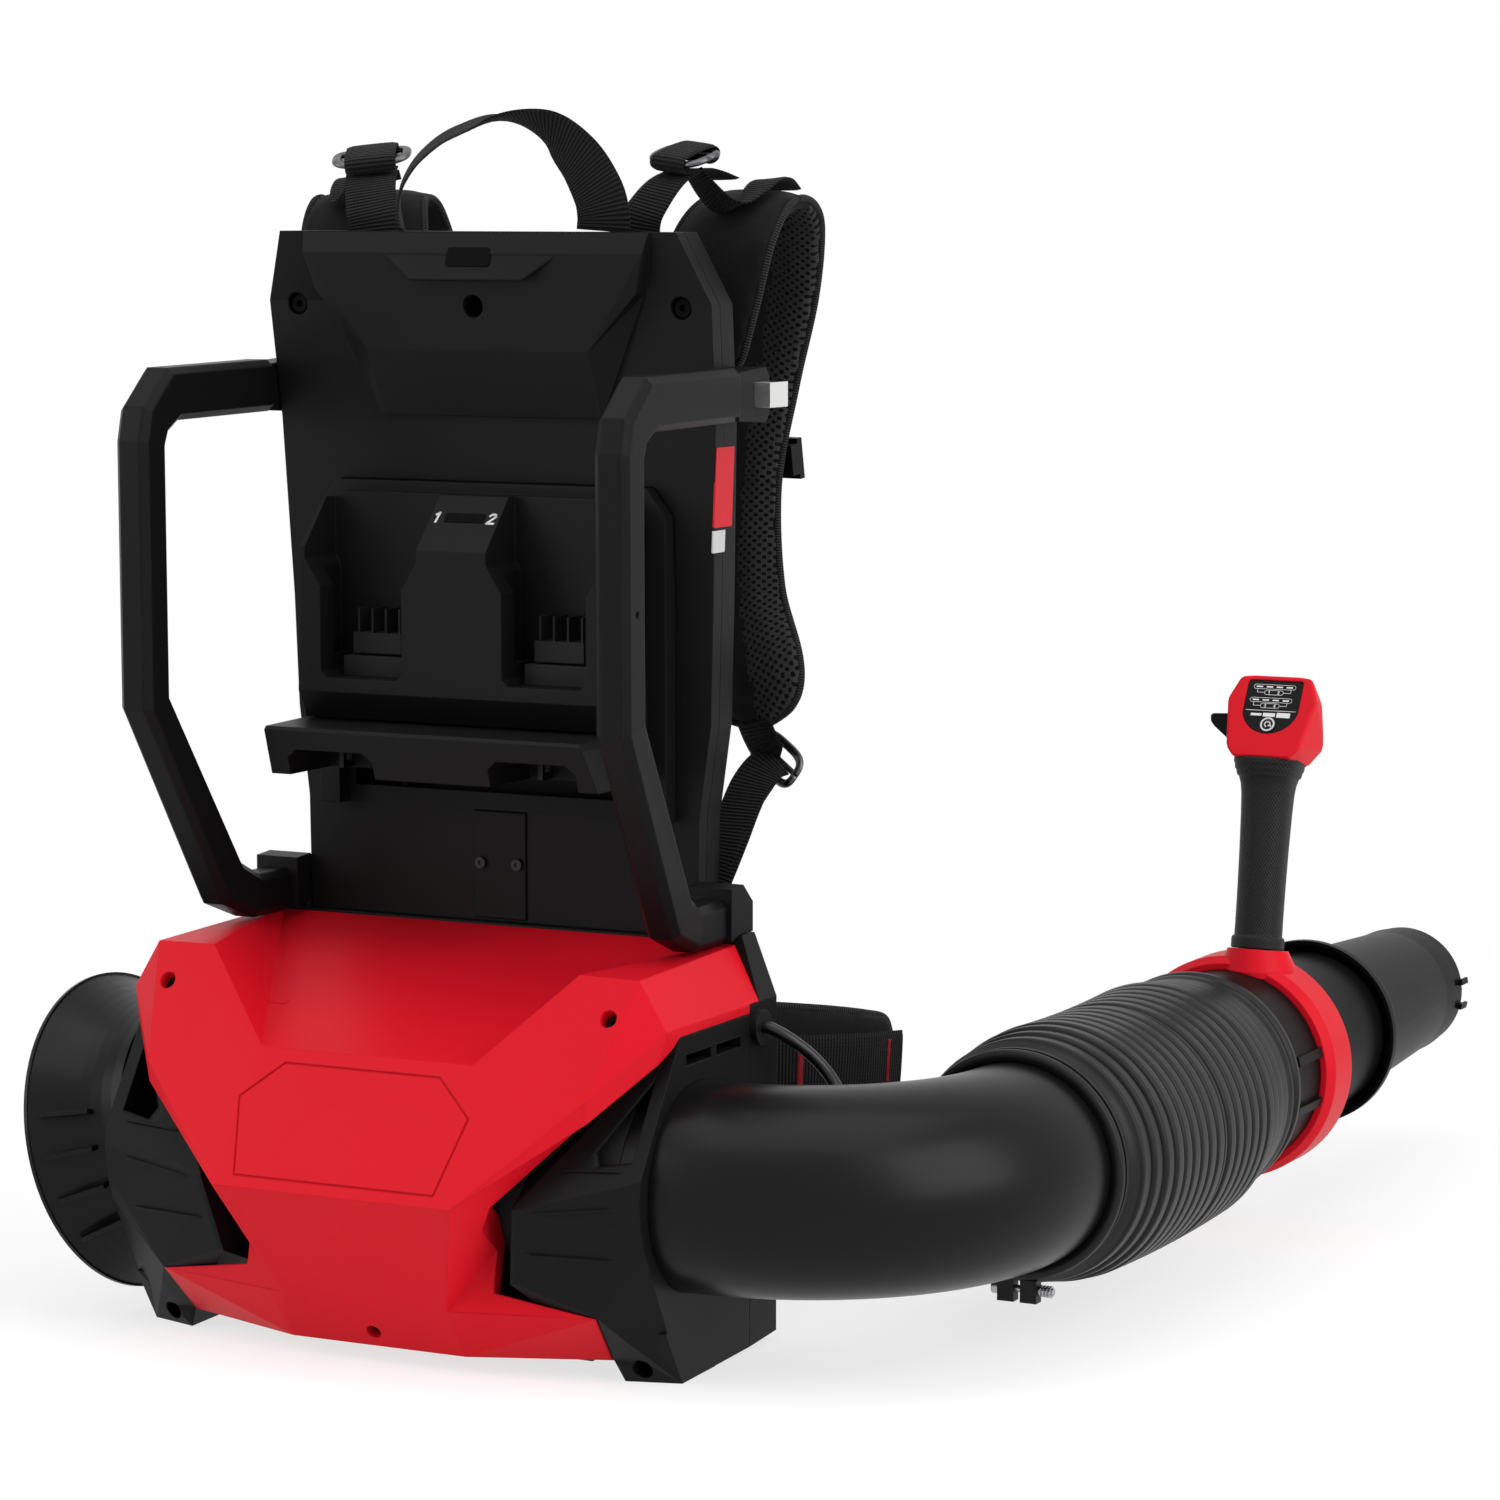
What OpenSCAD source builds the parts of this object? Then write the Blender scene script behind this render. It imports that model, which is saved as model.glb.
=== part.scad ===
// Backpack leaf blower: a two-battery fan unit on a harness frame, with a hand-held air tube.
// Millimetres. +Z is up, +Y points the way the wearer faces and the tube blows, +X is the wearer's right.
// The origin is on the floor below the middle of the machine.

/* [Base housing] */
// Half width of the base, to the flat side faces
base_half_w = 172; // [168:0.5:175]
// Height of the red cover's shoulders
shoulder_z = 225; // [222:0.5:228]
// Distance from the middle of the machine to the wearer's side of the base
base_back = 32; // [30:0.5:35]
// Forward reach of the ridge across the cover's nose
nose_reach = 171; // [166:0.5:176]
// Height of the nose ridge
nose_z = 104; // [100:0.5:108]
// Half width of the nose ridge
nose_half_w = 76; // [70:0.5:80]
// Wall of the moulded covers
cover_wall = 3; // [2:0.1:4]
// Joint line between neighbouring covers
seam = 0.4; // [0.3:0.05:0.8]

/* [Fan and air path] */
// Distance of the fan axis in front of the middle plane
fan_reach = 66; // [63:0.5:69]
// Height of the fan axis and of the air tube
fan_z = 107; // [105:0.5:109]
// Outer radius of the outlet elbow
elbow_r = 58.5; // [56:0.25:60]
// Wall of the rigid air tubes
tube_wall = 2.5; // [1.8:0.1:3.5]
// Bend radius of the elbow's centre line
bend_r = 125; // [120:0.5:130]
// Radius of the raised field round the elbow's root
collar_r = 74; // [72:0.25:76]
// Radius of the intake bell's rim
bell_r = 91.5; // [88:0.5:95]
// Reach of the bell's rim past the base's side
bell_reach = 43; // [38:0.5:48]
// Blades of the fan rotor
blade_count = 9; // [5:1:11]
// Radius of the rotor's hub
hub_r = 27; // [24:0.5:30]
// Radial gap between the blade tips and the duct
tip_gap = 1; // [0.6:0.1:2]
// Vanes that carry the motor pod
vane_count = 7; // [5:1:9]
// Radius of the fan shaft
shaft_r = 4; // [3:0.25:5]
// Radial running clearance in the bearings
shaft_fit = 0.05; // [0.02:0.01:0.1]

/* [Air tube] */
// Length of the flexible hose between its two cuffs
hose_len = 280; // [262:1:290]
// Largest radius over the hose's ribs
rib_r = 75; // [71:0.25:78]
// Ribs on each half of the hose
ribs_per_half = 9; // [6:1:11]
// Drop of the hose's middle under its own weight
hose_sag = 5; // [0:0.5:7]
// Outer radius of the front tube between the hose and the clamp ring
front_r = 62; // [60:0.25:63]
// Outer radius of the front tube past the clamp ring
slim_r = 52; // [50:0.25:54]
// Length of the front tube from the hose's end to the nozzle
front_len = 203; // [195:1:211]
// Length of the nozzle past the front tube
nozzle_len = 191; // [175:1:200]
// Outer radius of the nozzle's mouth
nozzle_r = 41.5; // [38:0.25:44]
// Outer radius of the flared skirt at the nozzle's rear
skirt_r = 60; // [58:0.25:62]
// Outer radius of the red clamp ring that carries the grip
ring_r = 70; // [68:0.25:72]
// Width of the clamp ring along the tube
ring_w = 40; // [34:0.5:42]

/* [Control grip] */
// Length of the grip from the ring to the control head
grip_len = 124; // [116:1:130]
// Radius of the grip at its thinnest
grip_r = 15; // [14:0.25:16.5]
// Forward lean of the grip
grip_lean = 9; // [6:0.5:11]
// Width of the control head
head_w = 48; // [44:0.5:52]
// Depth of the control head
head_d = 46; // [42:0.5:50]
// Height of the control head
head_h = 50; // [46:0.5:54]
// Radius of the trigger's and the lever's pivot pins
pin_r = 1.5; // [1:0.1:2]

/* [Frame] */
// Height of the frame's top edge
frame_top = 627; // [620:1:634]
// Half width of the frame at its shoulders
frame_half_w = 144; // [138:0.5:147]
// Depth of the frame from its front face to the wearer's side
frame_depth = 26; // [22:0.5:30]
// Half distance between the outer panel screws
panel_screw_x = 125; // [118:0.5:128]
// Height of the panel screws
panel_screw_z = 585; // [580:0.5:590]
// Radius of the panel's screw wells
screw_well_r = 6.5; // [5:0.25:7.5]

/* [Battery dock] */
// Half distance between the two battery bays
bay_x = 59.5; // [56:0.5:62]
// Half width of a bay's mouth
bay_half_w = 37; // [32:0.5:39]
// Forward reach of the dock's face
dock_reach = 35; // [30:0.5:40]
// Height of the dock's eyebrow
dock_top = 482; // [478:0.5:486]
// Height of the bay floors
bay_floor = 373; // [370:0.5:377]
// Height of the support shelf's top
shelf_top = 347; // [344:0.5:349]
// Half width of the support shelf
shelf_half_w = 106; // [100:0.5:110]
// Forward reach of the support shelf
shelf_reach = 63; // [56:0.5:68]

/* [Side handles] */
// Distance of the side handles from the middle
handle_x = 152; // [150:0.25:156]
// Thickness of a handle's bar from side to side
bar_t = 21; // [18:0.5:23]
// Width of a handle's upright bar in its own plane
bar_w = 24; // [21:0.5:27]
// Distance of the handles' uprights in front of the middle plane
handle_reach = 117; // [110:0.5:122]
// Height of the handles' upper bar
handle_top = 552; // [546:0.5:556]

/* [Harness] */
// Width of the carrying strap and the hip webbing
web_w = 34; // [30:0.5:38]
// Width of the shoulder straps' webbing
strap_w = 30; // [26:0.5:32]
// Thickness of the webbing
web_t = 1.8; // [1.4:0.1:2.2]
// Thickness of the shoulder pads
pad_t = 17; // [14:0.5:20]
// Thickness of the back cushion
back_t = 20; // [16:0.5:24]

/* [Hidden] */

$fn = 64;
eps = 0.01;
soft_gap = 0.3; // air between soft pieces and what they lie against
press_gap = 0.1; // clearance of pieces that are pushed together

fan_y = -fan_reach;
duct_in = elbow_r - tube_wall;
duct_end = base_half_w - 19;
duct_start = 112;
elbow_lead = 8;
elbow_spigot = 20;
tube_x = base_half_w + elbow_lead + bend_r;
elbow_end_y = fan_y + bend_r;
hose_y0 = elbow_end_y + 4;
hose_mid_y = hose_y0 + hose_len / 2;
hose_y1 = hose_y0 + hose_len;
front_y0 = hose_y1 - 24;
front_y1 = hose_y1 + front_len;
nozzle_y1 = front_y1 + nozzle_len;
ring_y = hose_y1 + 73;
grip_x = tube_x + 12;
grip_z = fan_z + ring_r;

// Corners of the base's right half; the left half mirrors them
badge_top = [67.5, -131, 176];
nose = [nose_half_w, -nose_reach, nose_z];
shoulder_in = [118, -101, shoulder_z + 0.5];
shoulder_out = [base_half_w - 17, -101, shoulder_z];
side_front = [base_half_w - 0.5, -101, shoulder_z - 27];
brow = [140.5, -136, shoulder_z - 62];
side_low = [base_half_w, -86, shoulder_z - 32];
tip_upper = [100, -146, 102];
tip_lower = [92.5, -135, 58];
heel = [140, -123.5, 41];
foot_edge = [136, -97, 12];
chin = [53, -136.5, 39];
cover_bottom = [56, -120, 10];
foot_front = [141.5, -93, 0];
foot_side = [base_half_w, -84, 0];
cover_back = [base_half_w, 10, shoulder_z - 27];
shoulder_back = [base_half_w - 18, 15, shoulder_z + 3];
side_seam = -2;

// ---- shared shapes ----

function both(points) = concat(points, [for (p = points) [-p[0], p[1], p[2]]]);

module solid_of(points) {
    hull() polyhedron(points, [[for (i = [0 : len(points) - 1]) i]]);
}

module both_sides() {
    children();
    mirror([1, 0, 0]) children();
}

// An outline drawn in Y and Z, extruded from x0 to x1
module along_x(x0, x1) {
    translate([x0, 0, 0]) rotate([90, 0, 90]) linear_extrude(x1 - x0) children();
}

// An outline drawn in X and Z, extruded from y0 to y1
module along_y(y0, y1) {
    translate([0, y1, 0]) rotate([90, 0, 0]) linear_extrude(y1 - y0) children();
}

module rod_x(x0, x1, r) {
    translate([x0, 0, 0]) rotate([0, 90, 0]) cylinder(r = r, h = x1 - x0);
}

module rod_y(y0, y1, r) {
    translate([0, y0, 0]) rotate([-90, 0, 0]) cylinder(r = r, h = y1 - y0);
}

// A profile of [radius, y] points turned about the Y axis
module turned_y(profile) {
    rotate([-90, 0, 0]) rotate_extrude() polygon([for (p = profile) [p[0], p[1]]]);
}

function unit(v) = v / norm(v);

// A smooth curve through the points, with `steps` pieces between neighbours
function curve(points, steps) = [
    for (i = [0 : len(points) - 2], s = [0 : steps - 1])
        let (
            a = points[max(i - 1, 0)], b = points[i], c = points[i + 1],
            d = points[min(i + 2, len(points) - 1)], t = s / steps
        )
        (2 * b + (c - a) * t + (2 * a - 5 * b + 4 * c - d) * t * t
            + (3 * b - a - 3 * c + d) * t * t * t) / 2,
    points[len(points) - 1]
];

// A closed body through `rings`, each a list of the same number of points
module skin(rings) {
    m = len(rings[0]);
    last = len(rings) - 1;
    side = [
        for (k = [0 : last - 1], j = [0 : m - 1])
            let (n = (j + 1) % m)
            each [[k * m + j, k * m + n, (k + 1) * m + n], [k * m + j, (k + 1) * m + n, (k + 1) * m + j]]
    ];
    start = [for (j = [1 : m - 2]) [0, j + 1, j]];
    end = [for (j = [1 : m - 2]) [last * m, last * m + j, last * m + j + 1]];
    polyhedron([for (r = rings) each r], concat(side, start, end), convexity = 6);
}

// Rounded section of half width w and half thickness t, squarer as `power` falls
function oval(sides, w, t, power) = [
    for (j = [0 : sides - 1])
        let (a = 360 * (j + 0.5) / sides, c = cos(a), s = sin(a))
        [w * sign(c) * pow(abs(c), power), t * sign(s) * pow(abs(s), power)]
];

function tangent(path, i) = unit(path[min(i + 1, len(path) - 1)] - path[max(i - 1, 0)]);

// A band along `path`: `across` is its width direction, and `section` gives its outline at each point
module band(path, across, section) {
    skin([
        for (i = [0 : len(path) - 1])
            let (
                t = tangent(path, i), n = unit(cross(t, across[i])), s = cross(t, n)
            )
            [for (q = section[i]) path[i] + s * q[0] + n * q[1]]
    ]);
}

function web_section(w) = [[w / 2, -web_t / 2], [w / 2, web_t / 2], [-w / 2, web_t / 2], [-w / 2, -web_t / 2]];

module webbing(path, side, w) {
    band(path, [for (p = path) side], [for (p = path) web_section(w)]);
}

// ---- base housing ----

fan_axis = [0, fan_y, fan_z];

function inward(points, d) = [
    for (p = points) [p[0] - sign(p[0]) * d, p[1] + d * 1.5, p[2] + (p[2] > nose_z ? -d : d)]
];

// The convex form that the cover and the end caps share
cover_corners = [
    badge_top, nose, shoulder_in, shoulder_out, side_front, brow, side_low, tip_upper, tip_lower, heel,
    foot_edge, chin, cover_bottom, cover_back, shoulder_back, [118, 15, shoulder_z + 4],
    [base_half_w, 8, 30], [136, 8, 5]
];

// The scoop in the cover's top: a plane that climbs from the badge to the frame, and its flared sides
module scoop(drop) {
    climb = tan(23.2);
    at = function(x, y) [x, y, badge_top[2] + climb * (y - badge_top[1]) - drop];
    edge = [badge_top - [0, 0, drop], at(130, -25), at(143, -9), [145, 16, shoulder_z + 4 - drop]];
    lip = [shoulder_in - [0, 0, drop]];
    solid_of(both(concat(
        edge, lip, [for (p = edge) p + [4, 0, 60]], [shoulder_in + [3, 0, 60], badge_top + [20, -30, 60]]
    )));
}

// The hollow below the nose, where the cover draws in towards the end cap
module cheek() {
    rim = [nose, chin, heel, side_low];
    solid_of(concat(rim, [tip_upper, tip_lower], [for (p = rim) p + [8, -14, -6]]));
}

cap_line = [
    [40, side_low[2]], [side_low[1], side_low[2]], [tip_upper[1], tip_upper[2]], [tip_lower[1], tip_lower[2]],
    [heel[1], heel[2]], [foot_edge[1], foot_edge[2]], [foot_edge[1], -10], [40, -10]
];

// The region of the base behind the joint line with the end caps
module cap_region(gap) {
    along_x(tip_lower[0] - 13, base_half_w + 40) offset(delta = gap) polygon(cap_line);
}

module front_cover() {
    color([0.86, 0.07, 0.1]) difference() {
        solid_of(both(cover_corners));
        scoop(0);
        both_sides() cheek();
        difference() {
            solid_of(both(inward(cover_corners, cover_wall)));
            scoop(cover_wall);
            both_sides() translate([-cover_wall * 2.5, cover_wall * 2.5, cover_wall]) cheek();
            both_sides() at_cover_screw() translate([0, 0, -26]) cylinder(r = screw_well_r + 1, h = 60);
        }
        both_sides() cap_region(0);
        translate([-200, side_seam, -10]) cube([400, 60, shoulder_z - 17]);
        // the rear edge slopes up to the shoulders
        along_x(-200, 200) polygon([
            [cover_back[1], cover_back[2]], [shoulder_back[1], shoulder_back[2]], [80, shoulder_back[2]], [80, cover_back[2]]
        ]);
        badge_groove();
        translate(fan_axis) rod_x(-duct_start, duct_end, elbow_r + seam);
        both_sides() at_cover_screw() {
            translate([0, 0, -screw_sunk - 0.1]) cylinder(r = screw_well_r - 1.5, h = 30);
            translate([0, 0, -40]) cylinder(r = 2.1, h = 40);
        }
        translate([0, -128, 17.5]) rotate([119, 0, 0]) cylinder(r = screw_well_r - 2, h = 20, center = true);
    }
}

cover_screw_at = [142, -113, shoulder_z - 20];
cover_screw_turn = [60, 0, 0];
screw_sunk = 13;

module at_cover_screw() {
    translate(cover_screw_at) rotate(cover_screw_turn) children();
}

// A fine groove round the field on the nose's upper face
module badge_groove() {
    field = [[-50, -8], [-74, -30], [-64, -76], [64, -76], [74, -30], [50, -8]];
    tilt = atan2(nose_reach + badge_top[1], badge_top[2] - nose_z);
    translate([0, badge_top[1], badge_top[2]]) rotate([-tilt, 0, 0]) along_y(-3, 0.8) difference() {
        polygon(field);
        offset(delta = -groove_w) polygon(field);
    }
}

groove_w = 1.2;

side_face = [
    [side_low[1], side_low[2]], [-98.5, 180], each [for (a = [130 : 12.5 : 230])
        [fan_y + 6 + collar_r * cos(a), fan_z + 3 + collar_r * sin(a)]],
    [foot_side[1], 0], [-37, 1.5], [side_seam - seam, 2.5], [side_seam - seam, side_low[2]]
];

// Side form of an end cap: its flat side, the tip at the front and the foot
module cap_form(inset) {
    hull() {
        along_x(base_half_w - 1 - inset, base_half_w - inset) offset(delta = -inset) polygon(side_face);
        solid_of([
            tip_upper + [0, inset * 1.5, 0], tip_lower + [0, inset * 1.5, inset], heel + [0, inset, inset],
            [88, side_seam - seam - inset, side_low[2] - inset], [88, side_seam - seam - inset, 5 + inset],
            foot_edge + [0, 0, inset]
        ]);
    }
}

module foot_form() {
    solid_of([
        foot_front, foot_side, foot_side + [0, 40, 1], foot_front + [0, 46, 1], foot_edge + [0, 0, 1],
        [base_half_w, -104, 32], [base_half_w, -60, 32], [139, -104, 28], [139, -60, 32]
    ]);
}

module end_cap() {
    intersection() {
        cap_form(0);
        cap_region(-seam);
    }
    intersection() {
        foot_form();
        cap_region(-seam);
    }
}

module cap_shell() {
    difference() {
        end_cap();
        intersection() {
            cap_form(cover_wall + 1);
            translate([60, -200, 4]) cube([base_half_w - 68, 300, 300]);
        }
        translate([153, -96.5, 8.5]) rotate([90, 0, 0]) cylinder(r = 5.5, h = 50, center = true);
    }
}

module right_end_cap() {
    color([0.11, 0.11, 0.115]) difference() {
        cap_shell();
        translate(fan_axis) rod_x(60, 200, elbow_r + press_gap);
        for (y0 = [-79, -43]) translate([base_half_w - 10, y0, side_low[2] - 17]) cube([12, 30, 6]);
    }
}

module left_end_cap() {
    color([0.11, 0.11, 0.115]) difference() {
        mirror([1, 0, 0]) cap_shell();
        at_bell() bell_plug(press_gap);
        translate(fan_axis) rod_x(-150, -60, elbow_r + press_gap);
    }
}

pan_half_w = 104;
pan_reach = 62;
pan_t = 4;

module rear_housing() {
    front = side_seam;
    high = shoulder_z - 27;
    color([0.1, 0.1, 0.105]) difference() {
        union() {
            solid_of(both([
                [base_half_w, front, 2.5], [base_half_w, base_back, 5], [base_half_w, front, high],
                [base_half_w, base_back, high], [base_half_w - 14, base_back, shoulder_z + 8.5],
                [base_half_w - 14, 16, shoulder_z + 8.5], [pan_half_w, base_back, 0], [pan_half_w, front, 0]
            ]));
            // the flat pan that the machine stands on
            translate([-pan_half_w, -pan_reach, 0]) cube([2 * pan_half_w, pan_reach + base_back, pan_t]);
        }
        // room for the cover's rear edge and for the frame's foot
        along_x(-200, 200) polygon([
            [-60, high - seam], [cover_back[1] + seam, high - seam], [shoulder_back[1] + seam, shoulder_z + 3],
            [shoulder_back[1] + seam + 3, shoulder_z + 21], [-60, shoulder_z + 21]
        ]);
        translate([-frame_foot - press_gap, -50, shoulder_z + 4.7]) cube([2 * (frame_foot + press_gap), 120, 40]);
        // hollow, with stiffening webs
        difference() {
            solid_of(both([
                [base_half_w - 4, front - 5, 6], [base_half_w - 4, base_back - 4, 8], [base_half_w - 4, front - 5, high - 4],
                [base_half_w - 4, base_back - 4, high - 4], [base_half_w - 17, base_back - 4, shoulder_z],
                [base_half_w - 17, 12, shoulder_z]
            ]));
            for (x = [-90 : 60 : 90]) translate([x, 0, 0]) cube([3, 200, 300]);
        }
        translate([base_half_w, grommet_y, grommet_z]) rod_x(-19, 20, grommet_r + press_gap);
        at_bell() bell_plug(press_gap);
    }
}

// ---- fan and air path ----

module fan_duct() {
    color([0.16, 0.16, 0.17]) translate(fan_axis) difference() {
        rod_x(-duct_start, duct_end, elbow_r);
        rod_x(-duct_start - 1, duct_end + 1, duct_in);
        translate([-duct_start - eps, 0, 0]) rotate([0, 90, 0]) cylinder(r1 = duct_in + 1.5, r2 = duct_in, h = 8);
    }
}

rotor_x = -78;
pod_x0 = rotor_x + 24;
pod_x1 = 42;
pod_r = hub_r + 1;
motor_r = pod_r - 2.5;
shaft_x1 = pod_x1 - 18;

// The pod holds the motor, and its curved vanes straighten the air behind the rotor
module motor_pod() {
    color([0.2, 0.2, 0.21]) translate(fan_axis) difference() {
        union() {
            rod_x(pod_x0, pod_x1, pod_r);
            translate([pod_x1, 0, 0]) rotate([0, 90, 0]) cylinder(r1 = pod_r, r2 = 6, h = 52);
            intersection() {
                rod_x(pod_x0 + 4, pod_x1 - 6, duct_in);
                for (i = [0 : vane_count - 1])
                    rotate([360 * i / vane_count, 0, 0]) curved_blade(pod_x0 + 26, 58, 0, 2.4);
            }
        }
        rod_x(pod_x0 + 2.5, pod_x1 - 8, motor_r + press_gap);
        rod_x(pod_x0 - 1, pod_x1, 11);
    }
}

// A cambered blade standing in +Z: a slice of a tube whose axis runs along Z
module curved_blade(x, chord, pitch, t) {
    bow_r = chord * 1.15;
    translate([x, 0, hub_r - 3]) rotate([0, 0, pitch]) intersection() {
        translate([0, bow_r - 3, 0]) difference() {
            cylinder(r = bow_r, h = elbow_r);
            translate([0, 0, -1]) cylinder(r = bow_r - t, h = elbow_r + 2);
        }
        translate([-chord / 2, -chord, 0]) cube([chord, chord * 1.2, elbow_r]);
    }
}

module fan_rotor() {
    color([0.24, 0.24, 0.25]) translate(fan_axis) difference() {
        union() {
            intersection() {
                rod_x(rotor_x - 14, rotor_x + 16, duct_in - tip_gap);
                for (i = [0 : blade_count - 1])
                    rotate([360 * i / blade_count, 0, 0]) curved_blade(rotor_x, 34, 48, 2.2);
            }
            rod_x(rotor_x - 14, rotor_x + 18, hub_r);
            intersection() {
                translate([rotor_x - 14, 0, 0]) sphere(r = hub_r);
                rod_x(rotor_x - 60, rotor_x - 13, hub_r);
            }
        }
        rod_x(rotor_x + 2, rotor_x + 30, hub_r - 4);
        rod_x(rotor_x - 12, rotor_x + 30, shaft_r);
    }
    // the hub's boss is pressed onto the shaft
    color([0.24, 0.24, 0.25]) translate(fan_axis) difference() {
        rod_x(rotor_x - 12, rotor_x + 18, 9);
        rod_x(rotor_x - 30, rotor_x + 30, shaft_r);
    }
}

module fan_shaft() {
    color([0.7, 0.7, 0.72]) translate(fan_axis) rod_x(rotor_x - 10, shaft_x1, shaft_r);
}

module bearings() {
    color([0.75, 0.75, 0.77]) translate(fan_axis)
        for (x = [pod_x0 + 2.6, pod_x1 - 26])
            difference() {
                rod_x(x, x + 7, 11);
                rod_x(x - 1, x + 8, shaft_r + shaft_fit);
            }
}

module motor() {
    x0 = pod_x0 + 10;
    x1 = pod_x1 - 9;
    color([0.45, 0.42, 0.38]) translate(fan_axis) difference() {
        rod_x(x0, x1, motor_r);
        rod_x(x0 - 1, x1 - 3, shaft_r + 0.5);
        rod_x(pod_x1 - 26 - press_gap, pod_x1 - 19 + press_gap, 11);
    }
}

// The intake bell stands on its own axis, set back towards the wearer and facing slightly down
bell_tilt = 13;
bell_swing = 4;
bell_depth = 50;
bell_root_r = 70;
bell_wall = 2.6;
bell_rim = [2 - base_half_w - bell_reach, fan_y + 20, fan_z - 6];

module at_bell() {
    translate(bell_rim) rotate([0, -90 - bell_tilt, -bell_swing]) children();
}

function flare(t) = bell_root_r + (bell_r - bell_root_r) * pow(t, 1.8);

// The bell's outline turned about its axis, grown by `gap` and left solid
module bell_plug(gap) {
    rotate_extrude() polygon(concat(
        [[0, -bell_depth - gap]],
        [for (i = [0 : 8]) [flare(i / 8) + gap, -bell_depth * (1 - i / 8) - (i == 0 ? gap : 0)]],
        [[0, 0]]
    ));
}

module intake_bell() {
    color([0.13, 0.13, 0.135]) at_bell() {
        rotate_extrude() polygon(concat(
            [for (i = [0 : 8]) [flare(i / 8), -bell_depth * (1 - i / 8)]],
            [[bell_r + 1.4, 0], [bell_r + 1.4, 2.4], [bell_r - bell_wall, 2.4]],
            [for (i = [8 : -1 : 0]) [flare(i / 8) - bell_wall, -bell_depth * (1 - i / 8)]]
        ));
        for (a = [52, 70, 87, 103]) rotate([0, 0, a]) bell_rib();
    }
}

// A tapering stiffening rib along the outside of the bell
module bell_rib() {
    translate([0, -1.4, 0]) rotate([90, 0, 0]) translate([0, 0, -1.4]) linear_extrude(2.8) polygon([
        [-flare(0.34) - 6, -bell_depth * 0.66], [-flare(0.34) + 1, -bell_depth * 0.66], [-flare(0.9) + 1, -bell_depth * 0.1],
        [-flare(0.9) - 2, -bell_depth * 0.1 - 2]
    ]);
}

// Ring and spoke grille inside the bell's throat
module intake_guard() {
    r_out = bell_root_r - bell_wall - press_gap;
    color([0.14, 0.14, 0.15]) at_bell() translate([0, 0, -bell_depth + 4]) {
        linear_extrude(3) {
            for (r = [14 : 10.8 : r_out - 2]) difference() {
                circle(r = r + 1.1);
                circle(r = r - 1.1);
            }
            for (a = [0 : 45 : 135]) rotate(a) square([2 * r_out - 2, 2], center = true);
        }
        linear_extrude(6) difference() {
            circle(r = r_out);
            circle(r = r_out - 2);
        }
    }
}

module tube_section(r) {
    difference() {
        circle(r = r);
        circle(r = r - tube_wall);
    }
}

module elbow() {
    color([0.13, 0.13, 0.135]) difference() {
        union() {
            translate(fan_axis + [duct_end + seam, 0, 0]) rotate([0, 90, 0])
                linear_extrude(base_half_w + elbow_lead - duct_end - seam) tube_section(elbow_r);
            at_bend(0) rotate([0, 0, -90])
                rotate_extrude(angle = 90, $fn = 96) translate([bend_r, 0]) tube_section(elbow_r);
            translate([tube_x, elbow_end_y, fan_z]) rotate([-90, 0, 0])
                linear_extrude(hose_y0 + elbow_spigot - elbow_end_y) tube_section(elbow_r);
            at_gland() translate([0, 0, elbow_r - 4]) cylinder(r = grommet_r, h = 6);
        }
        at_gland() translate([0, 0, elbow_r - 12]) cylinder(r = gland_r, h = 24);
    }
}

module at_bend(a) {
    translate([base_half_w + elbow_lead, elbow_end_y, fan_z]) rotate([0, 0, -a]) children();
}

// The cable enters the elbow on the inside of its bend, half way round
module at_gland() {
    at_bend(45) translate([bend_r, 0, 0]) rotate([0, -60, 0]) children();
}

// ---- flexible hose ----

cuff_len = 22;
groove_y = 7.5;
groove_len = 4.5;
mid_gap = 3;
rib_pitch = (hose_len / 2 - cuff_len - mid_gap) / ribs_per_half;
hose_in = rib_r - 9;
hose_wall = 2.5;

function sag_at(y) = -hose_sag * sin(180 * (y - hose_y0) / hose_len);

// One convolution: a rounded crest between two narrow valleys, lapped into its neighbours
module rib(crest, first, last) {
    p = rib_pitch;
    valley = hose_in + hose_wall;
    lap = 0.6;
    turned_y([
        [hose_in, first ? 0 : -lap], [valley, first ? 0 : -lap], [valley, p * 0.06], [crest - 1, p * 0.3],
        [crest, p * 0.42], [crest, p * 0.58], [crest - 1, p * 0.7], [valley, p * 0.94],
        [valley, last ? p : p + lap], [hose_in, last ? p : p + lap]
    ]);
}

// The ribs are lower next to the cuffs
function crest_at(i) = rib_r - max(0, 3 - 1.5 * i) - max(0, 6 - 2 * (2 * ribs_per_half - 1 - i));

module hose_ribs(y0, first) {
    last = first + ribs_per_half - 1;
    for (i = [first : last]) {
        y = y0 + (i - first) * rib_pitch;
        translate([tube_x, y, fan_z + sag_at(y + rib_pitch / 2)]) rib(crest_at(i), i == first, i == last);
    }
}

module cuff(r_in, r_out, r_hose) {
    turned_y([
        [r_in, 0], [r_out - 2, 0], [r_out, 2], [r_out, groove_y - 1.5], [r_out - 2, groove_y],
        [r_out - 2, groove_y + groove_len], [r_out, groove_y + groove_len + 1.5],
        [r_hose, cuff_len - 2], [r_hose, cuff_len + 0.4], [hose_in, cuff_len + 0.4], [r_in, cuff_len - 4]
    ]);
}

module hose_rear() {
    color([0.1, 0.1, 0.105]) {
        translate([tube_x, hose_y0, fan_z]) cuff(elbow_r + press_gap, elbow_r + 7, hose_in + hose_wall);
        hose_ribs(hose_y0 + cuff_len, 0);
    }
}

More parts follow.
